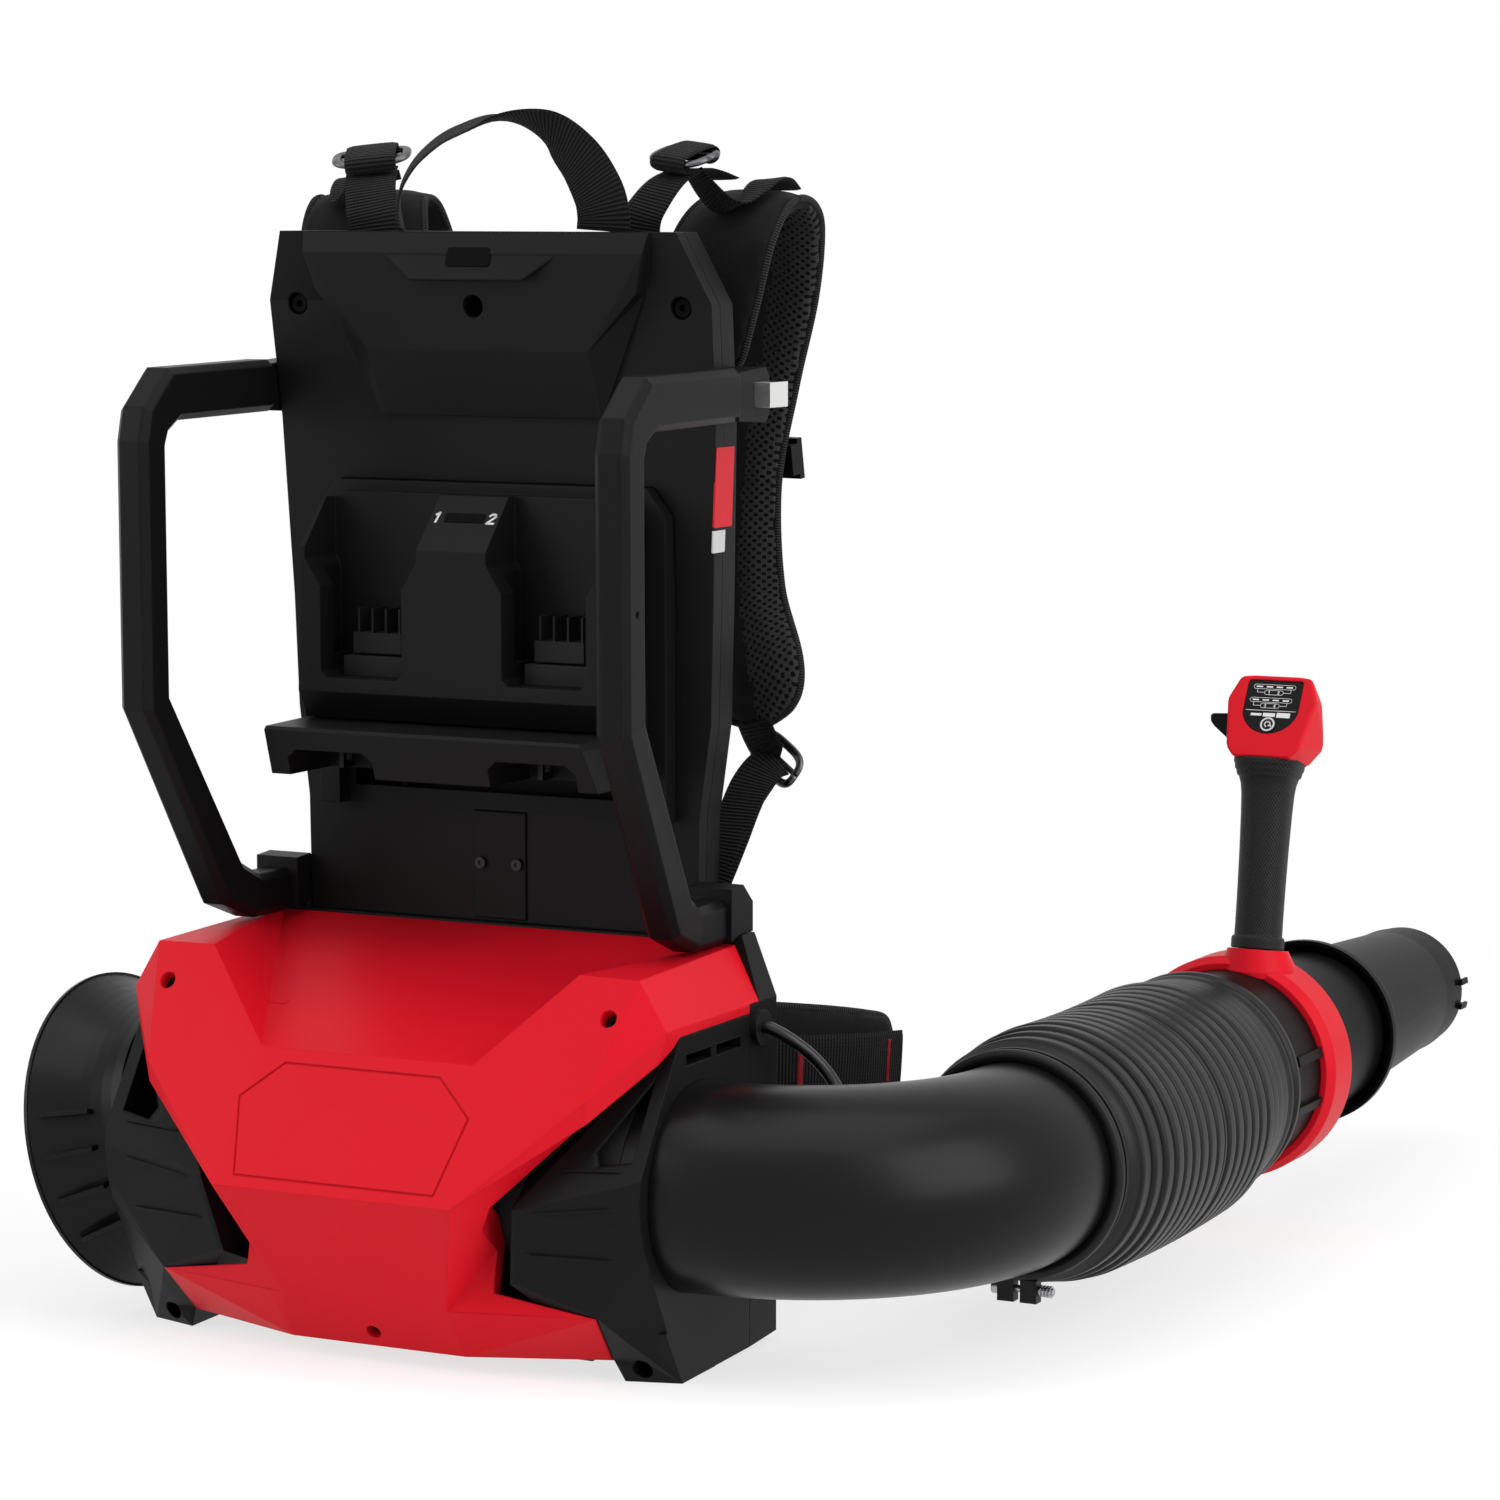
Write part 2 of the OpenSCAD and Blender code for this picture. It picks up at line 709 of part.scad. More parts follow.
module hose_front() {
    color([0.1, 0.1, 0.105]) {
        translate([tube_x, hose_y1, fan_z]) mirror([0, 1, 0])
            cuff(front_r + press_gap, front_r + 7, hose_in + hose_wall);
        hose_ribs(hose_mid_y + mid_gap, ribs_per_half);
    }
}

module hose_mid_ring() {
    half = mid_gap - soft_gap;
    color([0.12, 0.12, 0.125]) translate([tube_x, hose_mid_y, fan_z - hose_sag]) turned_y([
        [hose_in, -half], [rib_r - 3, -half], [rib_r - 1, -half + 1.5], [rib_r - 1, half - 1.5],
        [rib_r - 3, half], [hose_in, half]
    ]);
}

clamp_r = elbow_r + 5;
clamp_band = groove_len - 0.2;

// A band in the cuff's groove, closed by a screw through two ears below the hose
module hose_clamp() {
    color([0.12, 0.12, 0.125]) translate([tube_x, hose_y0 + groove_y + 0.1, fan_z]) {
        difference() {
            rod_y(0, clamp_band, clamp_r + 2);
            rod_y(-1, 6, clamp_r + press_gap);
            translate([-2, -1, -clamp_r - 10]) cube([4, 8, 20]);
        }
        for (x = [-12, 2])
            difference() {
                union() {
                    translate([x, 0, -clamp_r - 16]) cube([10, clamp_band, 17]);
                    translate([x, -2, -clamp_r - 16]) cube([10, clamp_band + 3, 13]);
                }
                translate([0, 2.2, -clamp_r - 9]) rod_x(-14, 14, 2.2);
                rod_y(-4, 8, clamp_r + 1);
            }
    }
}

module clamp_screw() {
    color([0.6, 0.6, 0.62]) translate([tube_x, hose_y0 + groove_y + 2.3, fan_z - clamp_r - 9]) {
        rod_x(-13, 21, 2.1);
        rod_x(-16, -12.1, 4);
        for (x = [13 : 2 : 19]) rod_x(x, x + 1, 3.4);
    }
}

// ---- front tube, clamp ring and nozzle ----

module front_tube() {
    step_y = ring_y + ring_w / 2 + 2;
    color([0.12, 0.12, 0.125]) translate([tube_x, 0, fan_z]) {
        turned_y([
            [front_r - tube_wall, front_y0], [front_r, front_y0], [front_r, step_y], [slim_r, step_y + 6],
            [slim_r, front_y1 - 2], [spigot_r, front_y1 + 4], [spigot_r, front_y1 + spigot_len],
            [spigot_r - tube_wall, front_y1 + spigot_len], [spigot_r - tube_wall, front_y1],
            [slim_r - tube_wall, front_y1 - 6], [slim_r - tube_wall, step_y + 6], [front_r - tube_wall, step_y]
        ]);
        // latch fingers that stop the clamp ring from turning
        for (a = [-14, 14]) rotate([0, a, 0])
            translate([front_r - 1, hose_y1 + 12, -3]) cube([4, ring_y - hose_y1 - ring_w / 2 - 12.3, 6]);
    }
}

spigot_r = 46.5;
spigot_len = 28;

module clamp_ring() {
    half = ring_w / 2;
    color([0.86, 0.07, 0.1]) difference() {
        union() {
            translate([tube_x, ring_y, fan_z]) turned_y([
                [front_r + press_gap, -half], [ring_r - 4, -half], [ring_r, -half + 6], [ring_r, half - 5],
                [ring_r - 4, half], [front_r + press_gap, half]
            ]);
            // saddle that carries the grip
            hull() {
                translate([grip_x, ring_y, grip_z - 2]) cylinder(r = grip_r + 2, h = 9);
                translate([grip_x, ring_y, fan_z + front_r - 4]) cylinder(r = grip_r + 9, h = 4);
            }
        }
        translate([tube_x, 0, fan_z]) rod_y(ring_y - 60, ring_y + 60, front_r + press_gap);
        on_grip() translate([-40, -40, 0]) cube([80, 80, 60]);
    }
}

module nozzle() {
    r0 = spigot_r + press_gap;
    color([0.12, 0.12, 0.125]) translate([tube_x, 0, fan_z]) {
        turned_y([
            [r0, front_y1 + 4.4], [r0 + 3.4, front_y1 + 4.4], [skirt_r - 2.4, front_y1 - 6], [skirt_r, front_y1 - 6],
            [skirt_r, front_y1], [r0 + 5, front_y1 + 12], [r0 + 2.8, front_y1 + 30], [nozzle_r + 1.5, nozzle_y1 - 36],
            [nozzle_r + 1.5, nozzle_y1 - 18], [nozzle_r, nozzle_y1 - 16], [nozzle_r, nozzle_y1],
            [nozzle_r - 2.2, nozzle_y1], [nozzle_r - 2.2, nozzle_y1 - 30], [r0 - 2, front_y1 + spigot_len + 4],
            [r0, front_y1 + spigot_len + 0.3]
        ]);
        // bayonet hooks that hold a spare tip
        for (a = [-10, 12]) rotate([0, a, 0]) {
            translate([nozzle_r - 1, nozzle_y1 - 8, -2]) cube([4.5, 6, 4]);
            translate([nozzle_r + 1.5, nozzle_y1 - 4, -2]) cube([2, 8, 4]);
        }
    }
}

// ---- control grip ----

head_base = [2, 0, grip_len];

module on_grip() {
    translate([grip_x, ring_y, grip_z + 3]) rotate([-grip_lean, 0, 0]) children();
}

module grip() {
    color([0.09, 0.09, 0.095]) on_grip() difference() {
        rotate_extrude() polygon([
            [0, 0.2], [grip_r + 1, 0.2], [grip_r + 1, 7], [grip_r - 0.4, 9], [grip_r - 0.6, 30], [grip_r, 62],
            [grip_r + 0.4, grip_len - 34], [grip_r + 2, grip_len - 18], [grip_r + 4.6, grip_len - 6],
            [grip_r + 4.6, grip_len - 0.2],
            [0, grip_len - 0.2]
        ]);
        translate([-5.6, trigger_bed, grip_len - 76]) cube([11.2, 20, 48]);
        translate(trigger_pivot) rod_x(-9.1, 9.1, pin_r + shaft_fit);
    }
}

// Bevelled block with a slanting face towards the user
module head_form(inset) {
    w = head_w / 2 - inset;
    d = head_d / 2;
    solid_of([
        [-w, -d + inset + 8, inset], [w - 6, -d + inset + 8, inset], [-w + 4, d - inset, inset],
        [w - 6, d - inset - 4, inset], [w, -d + inset + 24, 12], [-w - 1, -d + inset + 20, 8],
        [-w + 4, -d + inset + 4, head_h - inset], [w - 8, -d + inset + 4, head_h - inset],
        [w, d - inset - 14, head_h - 16], [-w - 1, d - inset - 10, head_h - 18],
        [-w + 5, d - inset - 8, head_h - inset - 4], [w - 9, d - inset - 8, head_h - inset - 4],
        [w, d - inset, 14], [-w - 1, d - inset, 16]
    ]);
}

module control_head() {
    color([0.86, 0.07, 0.1]) on_grip() translate(head_base) difference() {
        head_form(0);
        head_form(2.4);
        display_pocket(0.15, 4);
        translate(button_at) rotate([90 - face_tilt, 0, 0]) cylinder(r = button_r + 0.25, h = 20, center = true);
        // slots for the lever and the cable
        translate([-head_w / 2 - 6, -5.4, 14]) cube([12, 10.8, 22]);
        translate([0, 0, -1]) cylinder(r = 6, h = 8);
    }
}

face_tilt = 3;

module display_pocket(gap, depth) {
    translate([-1.5, -head_d / 2 + 6.4, 27]) rotate([-face_tilt, 0, 0]) along_y(-depth - 4, depth)
        offset(delta = gap) union() {
            translate([-14, -6]) square([28, 22]);
            intersection() {
                translate([0, -2]) circle(r = 14.4);
                translate([-14, -20]) square([28, 20]);
            }
        }
}

module display_window() {
    color([0.02, 0.02, 0.025]) on_grip() translate(head_base) difference() {
        intersection() {
            head_form(0.4);
            display_pocket(0, 4);
        }
        head_form(2.6);
        translate(button_at) rotate([90 - face_tilt, 0, 0]) cylinder(r = button_r + 0.25, h = 20, center = true);
    }
}

button_r = 4.6;
button_at = [-1.5, -head_d / 2 + 7.2, 14.5];

module mode_button() {
    color([0.05, 0.05, 0.055]) on_grip() translate(head_base) translate(button_at)
        rotate([90 - face_tilt, 0, 0]) translate([0, 0, -2.6]) {
            cylinder(r = button_r, h = 6);
            translate([0, 0, -1.6]) cylinder(r = button_r - 1.6, h = 2);
        }
}

lever_pivot = [-head_w / 2 + 7, 0, 25];

module cruise_lever() {
    color([0.08, 0.08, 0.085]) on_grip() translate(head_base) translate(lever_pivot) difference() {
        union() {
            rotate([90, 0, 0]) cylinder(r = 5, h = 9, center = true);
            solid_of([
                [0, -4.5, -3], [0, 4.5, -3], [0, -4.5, 4], [0, 4.5, 4],
                [-21, -4.5, 9], [-21, 4.5, 9], [-23, -4.5, 6], [-23, 4.5, 6], [-12, -4.5, -5], [-12, 4.5, -5]
            ]);
        }
        rotate([90, 0, 0]) cylinder(r = pin_r + shaft_fit, h = 12, center = true);
    }
}

trigger_pivot = [0, 9.5, grip_len - 34];
// Depth of the pocket behind the trigger, from the grip's middle line
trigger_bed = grip_r - 9;

module throttle_trigger() {
    color([0.08, 0.08, 0.085]) on_grip() translate(trigger_pivot) difference() {
        along_x(-5.3, 5.3) polygon([
            [-1.5, 3], [4, 4.5], [8, 0], [10.5, -12], [12, -26], [11.5, -32], [8.6, -36], [5.5, -36],
            [3, -30], [0.5, -12], [-2.5, -2]
        ]);
        rod_x(-8, 8, pin_r + shaft_fit);
    }
}

// From the floor of the trigger's pocket to the back of the trigger at rest
module trigger_spring() {
    color([0.7, 0.7, 0.72]) on_grip() translate([0, 0, trigger_pivot[2] - 26])
        rod_y(trigger_bed, trigger_pivot[1] + 1.8, 2.6);
}

module pivot_pins() {
    color([0.72, 0.72, 0.74]) on_grip() {
        translate(trigger_pivot) rod_x(-9, 9, pin_r);
        translate(head_base + lever_pivot) rod_y(-6.5, 6.5, pin_r);
    }
}

// ---- control cable ----

cable_r = 3.6;
grommet_r = 8;
grommet_y = 8;
grommet_z = shoulder_z - 41;
gland_r = grommet_r - 2.5;

// A point on the gland's axis, s from the elbow's centre line
function gland_at(s) = [
    base_half_w + elbow_lead + (bend_r - s * sin(60)) * cos(45),
    elbow_end_y - (bend_r - s * sin(60)) * sin(45), fan_z + s * cos(60)
];

cable_points = [
    [base_half_w - 12, grommet_y, grommet_z], [base_half_w + 5, grommet_y, grommet_z],
    [base_half_w + 9, grommet_y + 0.4, grommet_z - 0.6], [190, 12, 178], [200, 18, 169], [209, 21, 159],
    [217, 19, 150], gland_at(elbow_r + 11), gland_at(elbow_r + 5), gland_at(elbow_r - 11)
];

module grommet() {
    difference() {
        union() {
            cylinder(r = grommet_r, h = 8);
            translate([0, 0, 4]) cylinder(r = grommet_r + 2, h = 4);
        }
        translate([0, 0, -1]) cylinder(r = cable_r, h = 12);
    }
}

module cable_grommets() {
    color([0.08, 0.08, 0.085]) {
        translate([base_half_w - 4, grommet_y, grommet_z]) rotate([0, 90, 0]) grommet();
        at_gland() translate([0, 0, elbow_r - 9]) difference() {
            cylinder(r = gland_r, h = 12);
            translate([0, 0, -1]) cylinder(r = cable_r, h = 14);
        }
    }
}

module control_cable() {
    path = curve(cable_points, 3);
    color([0.06, 0.06, 0.065])
        band(path, [for (p = path) [0, 1, 0.2]], [for (p = path) oval(10, cable_r - 0.02, cable_r - 0.02, 1)]);
}

// ---- frame ----

frame_foot = 128;
panel_side = [
    [-7, frame_top], [6, panel_screw_z + 2], [15, 519], [20, 415], [21, 350], [20, 297], [20, shoulder_z + 5]
];
frame_edge = [
    [frame_half_w - 15.5, frame_top], [frame_half_w, panel_screw_z + 2], [frame_half_w - 2, 519],
    [frame_half_w - 6, 415], [frame_half_w - 8, 350], [frame_half_w - 15, 297], [frame_foot, shoulder_z + 5]
];

module frame_outline() {
    polygon(concat(frame_edge, [for (i = [len(frame_edge) - 1 : -1 : 0]) [-frame_edge[i][0], frame_edge[i][1]]]));
}

// The side profile moved `ahead` towards the front, and closed at depth y_back behind it
module side_profile(ahead, y_back) {
    polygon(concat(
        [for (p = panel_side) [p[0] - ahead, p[1]]],
        [for (i = [len(panel_side) - 1 : -1 : 0]) [panel_side[i][0] + y_back, panel_side[i][1]]]
    ));
}

module back_frame() {
    depth = frame_depth;
    color([0.1, 0.1, 0.105]) difference() {
        intersection() {
            along_y(-60, 90) frame_outline();
            along_x(-200, 200) side_profile(-10 - seam, depth);
        }
        // hollow from the front, with a rim and cross ribs
        difference() {
            intersection() {
                along_y(-60, 90) offset(delta = -7) frame_outline();
                along_x(-200, 200) side_profile(0, depth - 4);
            }
            for (z = [280 : 90 : 600]) translate([-200, -60, z]) cube([400, 200, 3]);
            for (x = [-70, 70]) translate([x - 1.5, -60, 200]) cube([3, 200, 500]);
            for (x = [-panel_screw_x, 0, panel_screw_x]) translate([x, 0, panel_screw_z]) rod_y(0, 60, 6);
        }
        for (x = [-panel_screw_x, 0, panel_screw_x]) translate([x, 0, panel_screw_z]) rod_y(0, 27, 2.1);
        // slots for the webbing
        for (x = [-1, 1])
            for (z = [frame_top - 20, 262])
                translate([x * 88 - strap_w / 2 - 1, 0, z]) cube([strap_w + 2, 60, 5]);
    }
}

module front_panel() {
    color([0.12, 0.12, 0.125]) difference() {
        union() {
            intersection() {
                along_y(-60, 60) frame_outline();
                along_x(-200, 200) side_profile(0, 10);
            }
            raised_field();
        }
        // hollow behind, round the screw bosses
        difference() {
            intersection() {
                along_y(-60, 60) offset(delta = -4) frame_outline();
                along_x(-200, 200) side_profile(-3, 11);
            }
            for (x = [-panel_screw_x, 0, panel_screw_x]) translate([x, 0, panel_screw_z]) rod_y(-20, 40, screw_well_r + 2.5);
        }
        // the V-shaped field under the top edge, and the screw wells
        translate([0, -21, 0]) solid_of(both([
            [68, 0, frame_top - 6], [36, 0, frame_top - 27], [68, 5, frame_top - 6], [36, 8.5, frame_top - 27]
        ]));
        for (x = [-panel_screw_x, 0, panel_screw_x])
            translate([x, 0, panel_screw_z]) {
                rod_y(-40, panel_screw_y + 0.1, screw_well_r);
                rod_y(0, 60, 2.1);
            }
        // pocket for the dock, and the window behind it
        along_y(-60, dock_back + 0.05) offset(delta = seam) dock_outline();
        along_y(-60, 60) translate([-98, 305]) square([196, dock_top - 325]);
        lower_cover_opening(0.3);
    }
}

// The raised middle, with a ramp down to the dock
module raised_field() {
    solid_of(both([
        [112, -8, frame_top - 0.5], [112, 1, frame_top - 0.5], [104, -7.5, 593], [104, 10, 593],
        [72, -5, 560], [72, 14, 560], [110, -12, frame_top - 12]
    ]));
    solid_of(both([
        [72, -5, 560], [72, 12, 522], [72, 18, 522], [72, 14, 560], [104, 3, 593], [104, 10, 593]
    ]));
}

module lower_cover_opening(gap) {
    along_y(0, 60) offset(delta = gap) translate([-17, shoulder_z + 7]) square([34, 62]);
}

module lower_cover() {
    color([0.11, 0.11, 0.115]) difference() {
        intersection() {
            lower_cover_opening(0);
            translate([-40, 18.8, 200]) cube([80, 4, 200]);
        }
        for (x = [-12, 12]) translate([x, 0, shoulder_z + 39]) rod_y(0, 40, 1.9);
    }
}

module cover_screws() {
    color([0.5, 0.5, 0.52]) for (x = [-12, 12])
        translate([x, 16.6, shoulder_z + 39]) {
            difference() {
                rod_y(0, 2.1, 3.4);
                rod_y(-1, 1, 1.2);
            }
            rod_y(2.1, 10, 1.8);
        }
}

panel_screw_y = 13;

module panel_screws() {
    color([0.3, 0.3, 0.31]) for (x = [-panel_screw_x, 0, panel_screw_x])
        translate([x, panel_screw_y, panel_screw_z]) {
            difference() {
                rod_y(-5, 0, screw_well_r - 1.5);
                rod_y(-6, -2, 2);
            }
            rod_y(-0.5, 12, 2);
        }
}

module housing_screws() {
    color([0.3, 0.3, 0.31]) both_sides() at_cover_screw() translate([0, 0, -screw_sunk]) {
        difference() {
            cylinder(r = screw_well_r - 2, h = 5);
            translate([0, 0, 2]) cylinder(r = 2, h = 5);
        }
        translate([0, 0, -12]) cylinder(r = 2, h = 12.5);
    }
}

// ---- battery dock ----

dock_face = [[-8, dock_top - 4], [-dock_reach, dock_top - 34], [-dock_reach, bay_floor - 8],
    [-dock_reach + 9, 349], [20, 349], [20, dock_top - 4]];

module battery_dock() {
    color([0.1, 0.1, 0.105]) difference() {
        union() {
            intersection() {
                along_x(-102, 102) polygon(dock_face);
                along_y(-60, 40) polygon([[-102, 349], [102, 349], [99, dock_top - 40], [99, dock_top - 10],
                    [93, dock_top - 3], [-93, dock_top - 3], [-99, dock_top - 10], [-99, dock_top - 40]]);
            }
            eyebrow();
        }
        for (side = [-1, 1]) translate([side * bay_x, 0, 0]) bay_cut();
        // hollow behind the face, which the controller board closes
        translate([-56, 3, 380]) cube([112, 30, 66]);
    }
}

// The hood over the bays with its two side pillars
module eyebrow() {
    along_y(dock_back - 12, dock_back) difference() {
        dock_outline();
        polygon([[-pillar_in, 285], [-pillar_in, dock_top - 18], [-94, dock_top - 10], [94, dock_top - 10],
            [pillar_in, dock_top - 18], [pillar_in, 285]]);
    }
}

dock_back = 20;
pillar_in = 101;

module dock_outline() {
    polygon([[-114, 295], [-114, dock_top - 14], [-102, dock_top + 2], [102, dock_top + 2],
        [114, dock_top - 14], [114, 295]]);
}

// A battery slides down into this bay: guide rails at its sides, a stop at its floor
module bay_cut() {
    top = dock_top - 31;
    along_y(-60, -1) polygon([
        [-bay_half_w, top + 40], [-bay_half_w, top - 10], [-bay_half_w + 10, top - 26], [-bay_half_w + 10, bay_floor + 4],
        [-bay_half_w + 14, bay_floor], [bay_half_w - 14, bay_floor], [bay_half_w - 10, bay_floor + 4],
        [bay_half_w - 10, top - 26], [bay_half_w, top - 10], [bay_half_w, top + 40]
    ]);
    // undercuts for the battery's rails
    along_y(-20, -1) translate([-bay_half_w + 3, bay_floor + 12]) square([2 * bay_half_w - 6, 90]);
}

module terminal_blocks() {
    color([0.13, 0.13, 0.135]) for (side = [-1, 1]) translate([side * bay_x, -1, 0]) {
        translate([-16, -16, bay_floor + 13]) cube([32, 16, 12]);
        for (x = [-14, -5, 4, 13]) translate([x, -14, bay_floor + 25]) cube([1.4, 14, 14]);
        translate([-20, -20, bay_floor]) cube([40, 20, 12]);
    }
}

module support_shelf() {
    t = 28;
    color([0.11, 0.11, 0.115]) difference() {
        intersection() {
            along_x(-shelf_half_w, shelf_half_w) polygon([
                [-shelf_reach - 2, shelf_top - 2], [-shelf_reach, shelf_top], [20, shelf_top + 1.7], [20, shelf_top - t],
                [-shelf_reach + 6, shelf_top - t]
            ]);
            along_y(-80, 40) polygon([
                [-shelf_half_w, shelf_top + 4], [shelf_half_w - 12, shelf_top + 4], [shelf_half_w - 6, shelf_top - 4],
                [shelf_half_w, shelf_top - t], [-shelf_half_w, shelf_top - t]
            ]);
        }
        // pockets below, where the batteries' release tabs are reached
        for (side = [-1, 1]) translate([side * (bay_x + 6), 0, 0])
            along_y(-80, -12) polygon([[-28, shelf_top - 40], [-28, shelf_top - 18], [-22, shelf_top - 13],
                [22, shelf_top - 13], [28, shelf_top - 18], [28, shelf_top - 40]]);
        translate([-90, -10, shelf_top - t - 1]) cube([180, 26, t - 4]);
        both_sides() translate([pillar_in - seam, dock_back - 12 - seam, shelf_top - t - 1]) cube([20, 30, t + 10]);
    }
}

module latch_keepers() {
    color([0.55, 0.55, 0.57]) for (side = [-1, 1], x = [-16, 10])
        translate([side * (bay_x + 6) + x, -24, shelf_top - 27]) difference() {
            cube([3, 12, 13.8]);
            translate([-1, 3, 3]) cube([5, 6, 6]);
        }
}

module controller_board() {
    color([0.1, 0.3, 0.18]) {
        translate([-60, dock_back + 0.1, 375]) cube([120, 1.6, 76]);
        for (x = [-48, -20, 8, 36]) translate([x, 12, 393]) cube([14, dock_back - 11.9, 20]);
    }
}

// ---- side handles ----

// Centre line of a handle, with the bar's width at each point: its foot leans in towards the frame
bar_path = [
    [0, 5, handle_top - 14.5], [0, 22 - handle_reach, handle_top - 16], [0, 4 - handle_reach, handle_top - 30],
    [0, -handle_reach, handle_top - 43], [0, 1 - handle_reach, 363], [-6, -49, 252], [-8, -26, 242], [-8, 5, 242]
];
bar_widths = [bar_w + 6, bar_w + 6, bar_w + 2, bar_w, bar_w, bar_w + 4, bar_w + 1, bar_w + 1];

// Eight-sided section with bevelled corners
function bar_section(w, t, bevel) = [
    [w - bevel, -t], [w, bevel - t], [w, t - bevel], [w - bevel, t], [bevel - w, t], [-w, t - bevel],
    [-w, bevel - t], [bevel - w, -t]
];

function ahead(path, i) = unit(path[min(i + 1, len(path) - 1)] - path[min(i, len(path) - 2)]);
function behind(path, i) = unit(path[max(i, 1)] - path[max(i, 1) - 1]);

// A bar with mitred corners along a path near the Y-Z plane
module mitred_bar(path, widths, t, bevel) {
    skin([
        for (i = [0 : len(path) - 1])
            let (
                t0 = behind(path, i), t1 = ahead(path, i), along = unit(t0 + t1),
                in_plane = unit(cross(along, [1, 0, 0])), stretch = 1 / sqrt((1 + t0 * t1) / 2)
            )
            [for (q = bar_section(widths[i] / 2, t / 2, bevel)) path[i] + in_plane * q[0] * stretch + [q[1], 0, 0]]
    ]);
}

module side_handle() {
    difference() {
        translate([handle_x, 0, 0]) mitred_bar(bar_path, bar_widths, bar_t, 4);
        translate([handle_x + bar_t / 2 - 2, -handle_reach, handle_top - 127]) rod_x(0, 10, 2);
    }
}

module side_handle_right() {
    color([0.1, 0.1, 0.105]) side_handle();
}

module side_handle_left() {
    color([0.1, 0.1, 0.105]) mirror([1, 0, 0]) side_handle();
}

// Clamp blocks that hold the handles' upper ends to the frame, and brackets at their feet
module handle_clamps() {
    color([0.09, 0.09, 0.095]) both_sides() {
        difference() {
            along_x(frame_half_w + 0.4 - 3, handle_x + bar_t / 2 - 1) polygon([
                [5.4, handle_top - 2], [38, handle_top], [43, handle_top - 5], [43, handle_top - 26],
                [38, handle_top - 31], [5.4, handle_top - 29]
            ]);
            translate([frame_half_w - 20, 5, handle_top - 60]) cube([20.4, 60, 100]);
        }
        along_x(frame_foot + 1, handle_x + 5) polygon([
            [5.4, shoulder_z + 6], [5.4, shoulder_z + 36], [20, shoulder_z + 37], [base_back, shoulder_z + 26],
            [base_back, shoulder_z + 9], [16, shoulder_z + 9]
        ]);
    }
}

module handle_hook() {
    x = handle_x + bar_t / 2 - 0.9;
    color([0.78, 0.78, 0.8]) {
        translate([x, 24, handle_top - 22]) cube([10, 14, 14]);
        translate([x + 7, 24, handle_top - 22]) cube([3, 22, 14]);
    }
}

// ---- harness ----

back_y = 46; // the frame's flattest rear face

module back_cushion() {
    y0 = panel_side[2][0] + frame_depth + soft_gap;
    rows = 13;
    path = [for (i = [0 : rows]) [0, y0 + back_t / 2 + 5.2, 295 + 260 * i / rows]];
    color([0.07, 0.07, 0.075]) band(path, [for (p = path) [1, 0, 0]], [
        for (i = [0 : rows])
            let (
                f = i / rows, drawn = pow(abs(2 * f - 1), 6),
                w = 96 - 26 * drawn, t = back_t / 2 * (1 - 0.45 * drawn) * (i % 4 == 2 ? 0.82 : 1)
            )
            [for (q = oval(18, w, t, 0.55)) [q[0], q[1] * (abs(q[0]) < 12 ? 0.75 : 1)]]
    ]);
}

pad_points = [
    [92, 64, 591], [99, 72, 629], [110, 92, 646], [120, 118, 635], [118, 136, 595], [108, 140, 540],
    [103, 134, 480], [108, 122, 415], [124, 104, 361], [127, 96, 341]
];
pad_half_w = [30, 33, 34, 33, 29, 25, 22, 27, 35, 22];

module shoulder_pad() {
    steps = 3;
    path = curve(pad_points, steps);
    widths = curve(pad_half_w, steps);
    last = len(path) - 1;
    band(path, [for (p = path) [1, -0.25, 0]], [
        for (i = [0 : last])
            let (end = min(i, last - i) / 2, taper = end < 1 ? 0.62 + 0.38 * end : 1)
            [for (q = oval(14, widths[i] * (end < 1 ? 0.86 + 0.14 * end : 1), pad_t / 2 * taper, 0.6))
                [q[0], q[1] * (1 - 0.16 * pow(q[0] / widths[i], 2))]]
    ]);
}

module shoulder_pad_right() {
    color([0.07, 0.07, 0.075]) shoulder_pad();
}

module shoulder_pad_left() {
    color([0.07, 0.07, 0.075]) mirror([1, 0, 0]) shoulder_pad();
}

// The loop that the blower is lifted by: its left end stands edge on, its right end faces forward
module carry_strap() {
    path = curve([
        [-75, 8, frame_top + 0.6], [-74.5, 8, 641], [-66, 8, 662], [-46, 9, 681], [-14, 10, 697], [24, 11, 686],
        [50, 11, 660], [59, 10, 641], [60, 10, frame_top + 0.6]
    ], 4);
    last = len(path) - 1;
    color([0.06, 0.06, 0.065]) band(path, [for (i = [0 : last]) [0.45 + 0.6 * i / last, 0.95 * i / last - 0.95, 0]], [
        for (p = path) web_section(web_w)
    ]);
}

// It leaves the frame's back flat and turns outwards on its way to the pad
module upper_strap() {
    path = curve([[86, 28.4, 604], [87, 27, frame_top + 2], [91, 32, 642], [98, 44, 656], [106, 60, 662], [115, 78, 657]], 3);
    last = len(path) - 1;
    band(path, [for (i = [0 : last]) [1, -0.45 * i / last, 0]], [for (p = path) web_section(strap_w)]);
}

module upper_straps() {
    color([0.06, 0.06, 0.065]) both_sides() upper_strap();
}

module upper_buckles() {
    color([0.2, 0.2, 0.21]) both_sides() translate([102.5, 53, 668]) rotate([20, 6, -24]) difference() {
        translate([-24, -10, -4]) cube([48, 22, 7]);
        translate([-strap_w / 2 - 1, -7, -10]) cube([strap_w + 2, 5, 20]);
        translate([-strap_w / 2 - 1, 3, -10]) cube([strap_w + 2, 5, 20]);
    }
}

module lower_strap() {
    path = curve([[113, 52, 251], [114, 64, 268], [118, 84, 295], [124, 96, 319], [127.8, 96.8, 332]], 3);
    webbing(path, [0.95, -0.3, 0], strap_w);
}

